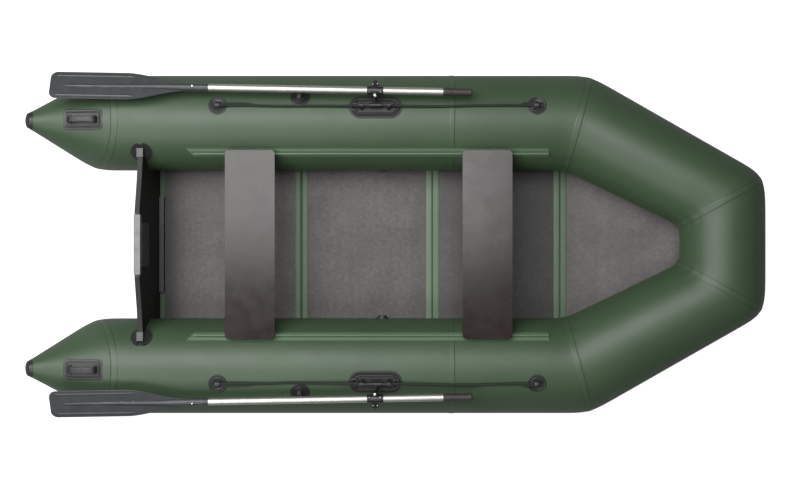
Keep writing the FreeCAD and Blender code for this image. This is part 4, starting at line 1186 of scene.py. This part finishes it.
class BOAT_OT_oarlocks(bpy.types.Operator):
    """Oarlocks: a ringed base on the tube, its bar, the swivel on the bar and the clamp on the pin"""

    bl_idname = "boat.oarlocks"
    bl_label = "Oarlocks"

    def execute(self, context):
        sizes = context.scene.boat_sizes
        gear = OarGear(sizes)
        self.make_base(sizes, gear)
        self.make_swivel(sizes, gear)
        self.make_clamp(sizes, gear)
        return {"FINISHED"}

    def make_base(self, sizes, gear):
        """A stadium with two rings and a deep well, lugs at both ends and a bar between them."""
        place = gear.base
        layers = [
            (0.0, -0.0020), (0.0, 0.0012), (0.0012, 0.0026), (0.0036, 0.0030), (0.0052, 0.0022),
            (0.0078, 0.0024), (0.0094, 0.0062), (0.0118, 0.0084), (0.0142, 0.0078), (0.0160, 0.0048),
            (0.0178, 0.0040), (0.0196, 0.0056), (0.0212, 0.0060), (0.0228, 0.0046), (0.0250, 0.0018),
            (0.0300, 0.0012), (0.0400, 0.0012),
        ]
        skins = [
            shell(pad(place, sizes.lock_half, sizes.lock_width, sizes.lock_width, layers, 144))
        ]
        lug_half, lug_at = 0.007, 0.057
        angle = np.linspace(-0.42, math.pi + 0.42, 30)
        around = 0.0118 * np.cos(angle)
        rise = sizes.bar_height + 0.0118 * np.sin(angle)
        foot = 0.004
        across = np.concatenate([[-0.0150], around[::-1], [0.0150]])
        height = np.concatenate([[foot], rise[::-1], [foot]])
        for way in (-1, 1):
            rings = []
            faces = ((-lug_half, 0.93), (-lug_half + 0.001, 1), (lug_half - 0.001, 1), (lug_half, 0.93))
            for shift, share in faces:
                rings.append(
                    place.centre + (way * lug_at + shift) * place.along
                    + (across * share)[:, None] * place.across
                    + (foot + (height - foot) * share)[:, None] * place.normal
                )
            skins.append(shell(np.stack(rings)))
            skins += hex_nut(
                place.up(way * (lug_at + lug_half), 0, sizes.bar_height), way * place.along, 0.0072, 0.0045
            )
        for middle, outer, inner in ((-0.088, 0.0195, 0.0105), (0.088, 0.0150, 0.0080)):
            ring = turn(48)
            tube = turn(16)
            radius = (outer + inner) / 2 + (outer - inner) / 2 * np.cos(tube)[None, :]
            skins.append(
                hoop(place.lay(
                    middle + radius * np.cos(ring)[:, None], radius * np.sin(ring)[:, None],
                    0.0060 + 0.0034 * np.sin(tube)[None, :] * np.ones((48, 1)),
                ))
            )
        both_sides(
            "oarlock_base_rubber", skins, "hull", FINISHES["black_rubber"],
            ["{side}_oarlock_base"],
        )
        ends = np.linspace(-lug_at, lug_at, 12)
        bar = np.stack([place.up(x, 0, sizes.bar_height) for x in ends])
        both_sides(
            "oarlock_bar", [shell(round_bar(bar, sizes.bar_radius * 0.98, 24))], "hull",
            FINISHES["black_plastic"], (),
        )

    def make_swivel(self, sizes, gear):
        """A ribbed sleeve that turns on the bar, an arm out of it and the pin with its nut."""
        half = 0.026
        radius = 0.0100
        profile = [(0.0, sizes.bar_radius + 0.0004), (0.0, radius - 0.0006), (0.0006, radius)]
        for rib in np.linspace(0.006, 2 * half - 0.006, 6):
            profile += [(rib - 0.0012, radius), (rib - 0.0006, radius - 0.0010),
                        (rib + 0.0006, radius - 0.0010), (rib + 0.0012, radius)]
        profile += [(2 * half - 0.0006, radius), (2 * half, radius - 0.0006),
                    (2 * half, sizes.bar_radius + 0.0004)]
        stations = np.array(profile)
        skins = [hoop(lathe(gear.bar - half * gear.forward, gear.forward, stations, 36))]
        top = -0.0155
        low = top - 0.009
        disc = [(low, 0.0095), (low + 0.0012, 0.0110), (top - 0.0008, 0.0110), (top, 0.0102)]
        skins.append(shell(lathe(gear.pin, gear.pin_way, disc, 36)))
        reach = gear.pin + (low + top) / 2 * gear.pin_way - gear.bar
        span = np.linalg.norm(reach)
        way = reach / span
        lift = np.cross(gear.forward, way)
        share = np.linspace(0.10, 1.0, 12)
        width = 0.0108 - 0.0022 * np.sin(np.pi * share)
        along, across = outline(1.0, 1.0, 0.45, 0.0, 28)
        rings = (
            gear.bar + (share * span)[:, None, None] * way
            + (along * width[:, None])[..., None] * gear.forward
            + (across * 0.0044)[None, :, None] * lift
        )
        skins.append(shell(rings))
        both_sides(
            "oarlock_swivel_arm", skins, "{side}_swivel", FINISHES["black_plastic"],
            ["{side}_oarlock_swivel"],
        )
        pin = [(low, sizes.bar_radius), (0.0225, sizes.bar_radius), (0.0230, sizes.bar_radius - 0.0006)]
        washer = [(0.0153, 0.0078), (0.0155, 0.0080), (0.0165, 0.0080), (0.0167, 0.0076)]
        steel = [
            shell(lathe(gear.pin, gear.pin_way, pin, 24)),
            shell(lathe(gear.pin, gear.pin_way, washer, 32)),
        ]
        steel += hex_nut(gear.pin + 0.0167 * gear.pin_way, gear.pin_way, 0.0077, 0.0042)
        both_sides(
            "oarlock_pin", steel, "{side}_swivel", FINISHES["steel"], ()
        )

    def make_clamp(self, sizes, gear):
        """A split band round the shaft, its eye on the pin, its ears and a wing nut."""
        bore, outer, half = sizes.shaft_radius + 0.0003, sizes.shaft_radius + 0.0037, 0.034
        profile = [(-half, bore), (-half, outer - 0.0008), (-half + 0.0010, outer), (-half + 0.0040, outer),
                   (-half + 0.0046, outer - 0.0009), (-half + 0.0080, outer - 0.0009),
                   (-half + 0.0086, outer)]
        mirrored = [(-height, radius) for height, radius in profile[::-1]]
        skins = [hoop(lathe(gear.shaft, gear.oar_way, profile + mirrored, 56))]
        eye_half, eye_radius = 0.0149, sizes.bar_radius + 0.0048
        eye = [(-eye_half, sizes.bar_radius + 0.0003), (-eye_half, eye_radius - 0.0008),
               (-eye_half + 0.0010, eye_radius), (eye_half - 0.0010, eye_radius),
               (eye_half, eye_radius - 0.0008), (eye_half, sizes.bar_radius + 0.0003)]
        skins.append(hoop(lathe(gear.pin, gear.pin_way, eye, 36)))
        offset = np.linalg.norm(gear.pin - gear.shaft)
        share = np.linspace(0, 1, 9)
        along, across = outline(1.0, 1.0, 0.3, 0.0, 32)
        start, end = -offset + 0.0075, -outer + 0.0022
        rings = (
            gear.shaft + (start + (end - start) * share)[:, None, None] * gear.out_way
            + (along * (0.0092 + 0.0050 * share[:, None] ** 2))[..., None] * gear.oar_way
            + (across * (0.0106 - 0.0010 * np.sin(np.pi * share[:, None])))[..., None] * gear.pin_way
        )
        skins.append(shell(rings))
        for level in (-1, 1):
            place = gear.oar_place(0.0, sizes.shaft_radius + 0.0125, level * 0.0039)
            along, across = outline(0.0138, 0.0112, 0.006, 0.0, 56)
            skins.append(shell(slab(place, along, across, (-0.0031, 0.0031))))
        for way in (-1, 1):
            for rise in (-0.0095, 0.0095):
                place = gear.oar_point(way * 0.024, -0.0102, rise * 1.2)
                skins.append(shell(lathe(place, -gear.out_way + 0.6 * np.sign(rise) * gear.pin_way,
                                         [(0.0, 0.0052), (0.0062, 0.0052), (0.0070, 0.0044)], 24)))
        middle = gear.oar_point(0.0, sizes.shaft_radius + 0.0290, 0.0)
        angle = np.linspace(-1, 1, 21)
        for way in (-1, 1):
            sweep = 0.0022 + 0.0016 * (1 - angle**2)
            path = (
                middle + (way * 0.0068 + way * 0.0040 * (angle + 1) / 2)[:, None] * gear.pin_way
                + (0.0040 * angle)[:, None] * gear.out_way
            )
            skins.append(shell(round_bar(path, sweep, 14, 0.8, gear.oar_way)))
        skins.append(shell(lathe(
            middle - 0.0060 * gear.out_way, gear.out_way,
            [(0.0, 0.0064), (0.0008, 0.0070), (0.0060, 0.0066), (0.0100, 0.0050), (0.0104, 0.0040)], 28,
        )))
        both_sides(
            "oar_clamp_band", skins, "{side}_clamp", FINISHES["black_plastic"],
            ["{side}_oar_clamp"],
        )
        steel = []
        for way in (-1, 1):
            place = gear.oar_point(way * 0.0090, sizes.shaft_radius + 0.0125, 0.0070)
            steel += hex_nut(place, gear.pin_way, 0.0040, 0.0016)
        steel.append(shell(lathe(
            middle + 0.0040 * gear.out_way, gear.out_way,
            [(0.0, 0.0032), (0.0022, 0.0032), (0.0028, 0.0024)], 20,
        )))
        for way in (-1, 1):
            spot = gear.oar_point(way * 0.024, -0.0102, 0.0114)
            push = unit(-gear.out_way + 0.6 * gear.pin_way)
            steel.append(shell(lathe(
                spot + 0.0070 * push, push, [(0.0, 0.0034), (0.0006, 0.0034), (0.0010, 0.0024)], 20
            )))
        both_sides(
            "oar_clamp_screws", steel, "{side}_clamp", FINISHES["steel"], ()
        )


class BOAT_OT_oars(bpy.types.Operator):
    """Oars: a two-part tube, a ribbed blade on its socket and a rubber grip"""

    bl_idname = "boat.oars"
    bl_label = "Oars"

    def execute(self, context):
        sizes = context.scene.boat_sizes
        gear = OarGear(sizes)
        self.make_shaft(sizes, gear)
        self.make_blade(sizes, gear)
        self.make_grip(gear)
        return {"FINISHED"}

    def make_shaft(self, sizes, gear):
        """A drawn tube with a swaged joint, and the button that locks it."""
        radius = sizes.shaft_radius
        stations = [
            (GRIP_ROOT, radius - 0.0004), (0.1590, radius - 0.0004), (0.1600, radius - 0.0004),
            (0.1606, radius), (0.1622, radius), (0.1628, radius - 0.0002), (0.1638, radius - 0.0002),
            (0.734, radius - 0.0002),
        ]
        skins = [shell(lathe(gear.shaft, gear.oar_way, stations, 72))]
        button = gear.oar_point(0.190, 0.0, radius - 0.0008)
        skins.append(shell(lathe(
            button, gear.pin_way, [(0.0, 0.0040), (0.0014, 0.0040), (0.0022, 0.0030), (0.0025, 0.0010)], 24
        )))
        both_sides(
            "oar_tube", skins, "{side}_oar", FINISHES["oar_aluminium"], ["{side}_oar_shaft"]
        )

    def blade_edge(self, sizes, share):
        """Half the blade's width from socket (0) to tip (1): an S from the neck, level, then a round corner."""
        neck = sizes.collar_radius * 0.98
        opened = neck + (sizes.blade_half - neck) * ease(share / 0.44) ** 0.9
        corner = 0.030
        over = np.clip((share * BLADE_REACH - (BLADE_REACH - corner)) / corner, 0, 1)
        return opened - corner * (1 - np.sqrt(np.clip(1 - over**2, 0, 1)))

    def make_blade(self, sizes, gear):
        """A thin plate with a rim, a middle rib that grows into the socket, and a rib near each edge."""
        reach, wall = BLADE_REACH, sizes.blade_wall
        share = np.concatenate([np.linspace(0, 0.94, 120), 1 - 0.06 * (1 - np.linspace(0, 1, 40)[1:]) ** 2])
        across = np.linspace(-1, 1, 81)
        half = self.blade_edge(sizes, share)
        out = half[:, None] * across[None]
        distance = share * reach
        central = np.clip((reach - 0.060 - distance) / 0.45, 0, 1)
        rib_half = 0.0045 + 0.0095 * central**1.6
        rib_rise = (0.0012 + 0.0125 * central**1.8) * ease((reach - 0.055 - distance) / 0.02)
        rib = rib_rise[:, None] * np.clip(1 - (out / rib_half[:, None]) ** 2, 0, None) ** 0.5
        side_at = np.full_like(distance, sizes.blade_half - 0.017)
        side_fade = ease((distance - 0.205) / 0.030) * ease((reach - 0.022 - distance) / 0.015)
        side_rib = 0.0020 * side_fade[:, None] * np.exp(
            -(((np.abs(out) - side_at[:, None]) / 0.0022) ** 2)
        )
        rim = 0.0007 * np.exp(-(((1 - np.abs(across)) * half[:, None] / 0.003) ** 2))
        edge = np.sqrt(np.clip(1 - across**2, 0, 1))[None] ** 0.35
        tip = np.clip((1 - share) / 0.006, 0, 1)[:, None] ** 0.5
        body = (wall / 2 - 0.0014) * np.minimum(edge, 1) * (0.25 + 0.75 * tip)
        height = body + (rib + side_rib + rim) * edge
        height[:, [0, -1]] = 0.0
        top = gear.oar_point(BLADE_ROOT + distance[:, None], out, height)
        under = gear.oar_point(BLADE_ROOT + distance[:, None], out, -height * 0.985)
        rings = np.concatenate([top, under[:, -2:0:-1]], axis=1)
        skins = [shell(rings)]
        socket = [
            (SOCKET_MOUTH, sizes.collar_radius - 0.0016), (0.7044, sizes.collar_radius - 0.0004),
            (0.708, sizes.collar_radius), (0.716, sizes.collar_radius),
            (0.7166, sizes.collar_radius - 0.0008), (0.722, sizes.collar_radius - 0.0008),
            (0.7226, sizes.collar_radius), (BLADE_ROOT, sizes.collar_radius - 0.0004),
            (0.850, 0.0162), (0.930, 0.0112), (1.010, 0.0072), (1.060, 0.0040),
        ]
        skins.append(shell(lathe(gear.shaft, gear.oar_way, socket, 56)))
        both_sides(
            "oar_blade_moulding", skins, "{side}_oar", FINISHES["blade_plastic"],
            ["{side}_oar_blade"],
        )
        rivet = gear.oar_point(0.770, 0.0, sizes.collar_radius - 0.0010)
        both_sides(
            "oar_blade_rivet",
            [shell(lathe(rivet, gear.pin_way,
                         [(0.0, 0.0052), (0.0014, 0.0052), (0.0024, 0.0038), (0.0027, 0.0012)], 28))],
            "{side}_oar", FINISHES["steel"], (),
        )

    def make_grip(self, gear):
        """A rubber sleeve: a collar at its root, shallow grooves, and a slight taper to a round end."""
        root, end = GRIP_ROOT, GRIP_END
        along = np.linspace(0, 1, 120)
        radius = 0.0175 - 0.0014 * ease(along * 1.4)
        radius = radius + 0.0005 * np.exp(-(((along - 0.055) / 0.03) ** 2))
        grooves = 0.0007 * np.clip(np.cos(2 * np.pi * along * 15), 0, 1) ** 3
        radius = radius - grooves * (along > 0.17) * (along < 0.90)
        radius = radius * np.sqrt(np.clip(1 - np.clip((along - 0.95) / 0.05, 0, 1) ** 2.5, 0.05, 1))
        stations = np.stack([root + (end - root) * along, radius], axis=1)
        both_sides(
            "oar_grip_rubber", [shell(lathe(gear.shaft, gear.oar_way, stations, 48))], "{side}_oar",
            FINISHES["grip_rubber"], ["{side}_oar_grip"],
        )


class BOAT_OT_oar_rests(bpy.types.Operator):
    """Oar rests: a stepped disc on the tube, a waisted stem and a rounded pad under the shaft"""

    bl_idname = "boat.oar_rests"
    bl_label = "Oar rests"

    def execute(self, context):
        sizes = context.scene.boat_sizes
        gear = OarGear(sizes)
        low, high = corners("port_oar_rest")
        rest_x = (low[0] + high[0]) / 2
        along = (gear.shaft[0] - rest_x) / -gear.oar_way[0]
        point = gear.oar_point(along)
        line = point - TUBE_AXIS * np.array([0, 1, 1]) - np.array([point[0], 0, 0])
        off, up = line @ gear.out_way, line @ gear.pin_way
        foot = point - gear.pin_way * (up - math.sqrt(TUBE_RADIUS**2 - off**2))
        height = np.linalg.norm(point - foot) - sizes.shaft_radius - 0.0006
        angle = math.asin((foot[1] - TUBE_AXIS[1]) / TUBE_RADIUS)
        place = on_side_tube(rest_x, angle)
        layers = [
            (0.0, -0.0015), (0.0, 0.0010), (0.0012, 0.0026), (0.0042, 0.0032), (0.0060, 0.0024),
            (0.0130, 0.0026), (0.0148, 0.0060), (0.0168, 0.0084), (0.0190, 0.0086), (0.0208, 0.0064),
            (0.0270, 0.0062), (0.0300, 0.0074), (0.0400, 0.0076),
        ]
        radius = (high[0] - low[0]) / 2
        skins = [shell(pad(place, radius, radius, radius, layers, 96))]
        stem = [
            (0.0, 0.0120), (0.006, 0.0104), (height * 0.5, 0.0088), (height - 0.010, 0.0098),
            (height - 0.004, 0.0108),
        ]
        skins.append(shell(lathe(foot, gear.pin_way, stem, 36)))
        top = Place(foot + height * gear.pin_way, gear.forward, gear.out_way, gear.pin_way, 9.0)
        share = np.linspace(-1, 1, 25)
        out = -0.0105 + 0.0250 * share
        width = 0.0089 * (1 - np.abs(share) ** 8 * 0.25)
        thick = 0.0030 + 0.0003 * np.cos(np.pi * share)
        cross_x, cross_z = outline(1.0, 1.0, 0.35, 0.0, 36)
        rings = (
            top.centre + out[:, None, None] * gear.out_way
            + (cross_x * width[:, None])[..., None] * gear.forward
            + (cross_z * thick[:, None] - 0.0034)[..., None] * gear.pin_way
        )
        skins.append(shell(rings))
        both_sides(
            "oar_rest_rubber", skins, "hull", FINISHES["black_rubber"], ["{side}_oar_rest"]
        )
        return {"FINISHED"}


class BOAT_OT_handles(bpy.types.Operator):
    """Carry handles on the stern cones: a framed base and an arched strap with ribs"""

    bl_idname = "boat.handles"
    bl_label = "Carry handles"

    def execute(self, context):
        low, high = corners("port_carry_handle")
        cone_axis_far = np.array([(CONE_CROWN_X + CONE_FOOT_X) / 2, TUBE_AXIS[1], TUBE_AXIS[2]])
        way = unit(CAP_CENTRE - cone_axis_far)
        cone_up = np.array([way[2], 0, -way[0]])
        end_top = CAP_CENTRE + cone_up * CAP_RADIUS
        seam_top = np.array([CONE_CROWN_X, TUBE_AXIS[1], 2 * TUBE_RADIUS])
        along = unit(seam_top - end_top)
        normal = np.array([-along[2], 0, along[0]])
        half, width = 0.086, (high[1] - low[1]) / 2
        middle_x = (low[0] + high[0]) / 2 + 0.0002
        share = (middle_x - end_top[0]) / (seam_top[0] - end_top[0])
        foot = end_top + (seam_top - end_top) * share
        radius = CAP_RADIUS + (TUBE_RADIUS - CAP_RADIUS) * share
        place = Place(foot, along, (0, 1.0, 0), normal, radius)
        layers = [
            (0.0, -0.0040), (0.0, 0.0010), (0.0010, 0.0026), (0.0050, 0.0032), (0.0070, 0.0024),
            (0.0110, 0.0024), (0.0126, 0.0040), (0.0150, 0.0042), (0.0166, 0.0024), (0.0250, 0.0022),
            (0.0400, 0.0022),
        ]
        skins = [shell(pad(place, half, width, 0.020, layers, 128))]
        reach, gap = 0.0635, 0.030
        angle = np.linspace(0, math.pi, 61)
        run = -reach * np.sign(np.cos(angle)) * np.abs(np.cos(angle)) ** 0.62
        rise = (gap + 0.0035) * np.sin(angle) ** 0.55
        run, rise = np.clip(run, -0.0600, 0.0600), rise + 0.0005
        path = np.stack([place.up(a, 0, h) for a, h in zip(run, rise)])
        tangent = unit(np.gradient(path, axis=0))
        side = np.array([0, 1.0, 0])
        away = np.cross(side, tangent)
        strap_half = 0.0158 * (1 - 0.22 * np.sin(angle) ** 3)
        thick = 0.0036
        cross_y, cross_z = outline(1.0, 1.0, 0.5, 0.0, 40)
        ribbed = 1 + 0.10 * np.cos(np.linspace(0, 1, 61) * 2 * np.pi * 15) * (np.sin(angle) > 0.75)
        rings = (
            path[:, None] + (cross_y * strap_half[:, None])[..., None] * side
            + (cross_z[None] * (thick * ribbed)[:, None])[..., None] * away[:, None]
        )
        skins.append(shell(rings))
        for end in (-1, 1):
            along_pad, across_pad = outline(0.0125, 0.0230, 0.006, 0.0, 48)
            spot = Place(place.up(end * 0.0605, 0, 0.0), along, (0, 1.0, 0), normal, radius)
            skins.append(shell(slab(spot, along_pad, across_pad, (-0.001, 0.0052), 0.0012)))
        both_sides(
            "carry_handle_rubber", skins, "hull", FINISHES["black_rubber"], ["{side}_carry_handle"],
        )
        return {"FINISHED"}


# Frame's own pieces --------------------------------------------------------------------------------

SLOT_OF = {
    "floor_board_": "floor_ply",
    "floor_cleat": "strip_fabric",
    "transom_board": "transom_ply",
    "transom_cap": "grey_plastic",
    "motor_plate_": "grey_plastic",
    "port_air_valve": "black_rubber",
    "starboard_air_valve": "black_rubber",
    "bow_tow_eye": "black_rubber",
    "port_transom_": "black_rubber",
    "starboard_transom_": "black_rubber",
    "aft_seat_board": "seat_ply",
    "forward_seat_board": "seat_ply",
    "aft_seat_sliders": "slider_plastic",
    "forward_seat_sliders": "slider_plastic",
}


class BOAT_OT_frame_finishes(bpy.types.Operator):
    """Finishes for the pieces that the frame already gives their final shape"""

    bl_idname = "boat.frame_finishes"
    bl_label = "Boards, seats and transom"

    def execute(self, context):
        special = {
            "port_transom_end_cap": "dark_cap", "starboard_transom_end_cap": "dark_cap",
            "floor_cleat": "black_plastic", "motor_plate_inner": "black_plastic",
        }
        for name, node in frame["nodes"].items():
            finish = special.get(name)
            if finish is None:
                for start, slot in SLOT_OF.items():
                    if name.startswith(start):
                        finish = slot
            if finish is None:
                continue
            if not node.material_slots:
                node.data.materials.append(None)
            for holder in node.material_slots:
                holder.material = FINISHES[finish]
        return {"FINISHED"}


# Stage ---------------------------------------------------------------------------------------------


class BOAT_OT_stage(bpy.types.Operator):
    """Camera, floor, sky and lamps"""

    bl_idname = "boat.stage"
    bl_label = "Stage"

    def execute(self, context):
        sizes = context.scene.boat_sizes
        scene = context.scene
        scene.view_settings.view_transform = "Standard"
        eye = bpy.data.cameras.new("Overhead")
        eye.lens, eye.sensor_width = 61.4, 36.0
        camera = bpy.data.objects.new("Overhead", eye)
        camera.location = (0.0285, 0.0194, sizes.camera_height)
        scene.collection.objects.link(camera)
        scene.camera = camera
        self.lamps(scene)
        self.sky(scene)
        floor = self.floor(scene)
        return {"FINISHED"}

    def lamps(self, scene):
        """One broad soft lamp above and to port, and a weaker one on the other side."""
        for name, place, span, power, facing in (
            ("Key", (-1.95, 1.5, 5.6), (6.7, 3.4), 480.0, (0.0, 0.0, 0.2)),
            ("Fill", (-2.4, -2.7, 5.2), (4.4, 1.9), 130.0, (0.0, 0.0, 0.2)),
        ):
            lamp = bpy.data.lights.new(name, "AREA")
            lamp.shape, lamp.size, lamp.size_y, lamp.energy = "RECTANGLE", span[0], span[1], power
            made = bpy.data.objects.new(name, lamp)
            made.location = place
            away = np.array(place) - np.array(facing)
            across = unit(np.cross((0, 1.0, 0), away))
            up = np.cross(unit(away), across)
            made.matrix_world = Matrix(np.column_stack([across, up, unit(away), place]).tolist()).to_4x4()
            made.visible_camera = False
            scene.collection.objects.link(made)

    def sky(self, scene):
        """White to camera and transmission rays, and a low plain grey for everything else, reflections
        included.
        """
        world = bpy.data.worlds.new("Sky")
        world.use_nodes = True
        scene.world = world
        tree = world.node_tree
        back = tree.nodes["Background"]
        rays = tree.nodes.new("ShaderNodeLightPath")
        seen = maths(tree, "MAXIMUM", rays.outputs["Is Camera Ray"], rays.outputs["Is Transmission Ray"])
        strength = maths(tree, "MULTIPLY_ADD", seen, 0.91, 0.09)
        back.inputs["Color"].default_value = (1, 1, 1, 1)
        link(tree, strength, back.inputs["Strength"])

    def floor(self, scene):
        """A wide pale floor that the camera sees as white, apart from the shadow on it."""
        reach = 14.0
        steps = np.linspace(-reach, reach, 9)
        x, y = np.meshgrid(steps, steps, indexing="ij")
        points = np.stack([x, y, np.full_like(x, -0.0013)], axis=-1).reshape(-1, 3)
        row, column = np.meshgrid(np.arange(8), np.arange(8), indexing="ij")
        first = (row * 9 + column).ravel()
        faces = np.stack([first, first + 9, first + 10, first + 1], axis=-1)
        mesh = bpy.data.meshes.new("Floor")
        mesh.from_pydata(points.tolist(), [], faces.tolist())
        made = bpy.data.materials.new("Floor")
        made.use_nodes = True
        tree = made.node_tree
        shader = tree.nodes["Principled BSDF"]
        shader.inputs["Base Color"].default_value = (0.33, 0.33, 0.33, 1)
        shader.inputs["Roughness"].default_value = 0.9
        shader.inputs["Emission Color"].default_value = (1, 1, 1, 1)
        rays = tree.nodes.new("ShaderNodeLightPath")
        link(tree, maths(tree, "MULTIPLY", rays.outputs["Is Camera Ray"], 0.93),
             shader.inputs["Emission Strength"])
        mesh.materials.append(made)
        floor = bpy.data.objects.new("Floor", mesh)
        scene.collection.objects.link(floor)
        return floor


# Panel and registration ----------------------------------------------------------------------------

OPERATORS = (
    BOAT_OT_stage, BOAT_OT_grab_lines, BOAT_OT_hull, BOAT_OT_cone_caps, BOAT_OT_bottom, BOAT_OT_floor,
    BOAT_OT_rails, BOAT_OT_eyes, BOAT_OT_oarlocks, BOAT_OT_oars, BOAT_OT_oar_rests, BOAT_OT_handles,
    BOAT_OT_frame_finishes,
)


class BOAT_PT_panel(bpy.types.Panel):
    """Sizes, colours and one button for each group of pieces"""

    bl_idname = "BOAT_PT_panel"
    bl_label = "Inflatable boat"
    bl_space_type = "VIEW_3D"
    bl_region_type = "UI"
    bl_category = "Boat"

    def draw(self, context):
        for operator in OPERATORS:
            self.layout.operator(operator.bl_idname)
        for group in (context.scene.boat_sizes, context.scene.boat_colours):
            box = self.layout.box()
            for name in group.__annotations__:
                box.prop(group, name)


CLASSES = (BoatSizes, BoatColours, *OPERATORS, BOAT_PT_panel)


def register():
    for made in CLASSES:
        bpy.utils.register_class(made)
    bpy.types.Scene.boat_sizes = PointerProperty(type=BoatSizes)
    bpy.types.Scene.boat_colours = PointerProperty(type=BoatColours)


def unregister():
    del bpy.types.Scene.boat_colours
    del bpy.types.Scene.boat_sizes
    for made in reversed(CLASSES):
        bpy.utils.unregister_class(made)


def main():
    register()
    make_finishes(bpy.context.scene.boat_colours)
    for operator in OPERATORS:
        group, name = operator.bl_idname.split(".")
        getattr(getattr(bpy.ops, group), name)()


if __name__ == "__main__":
    main()
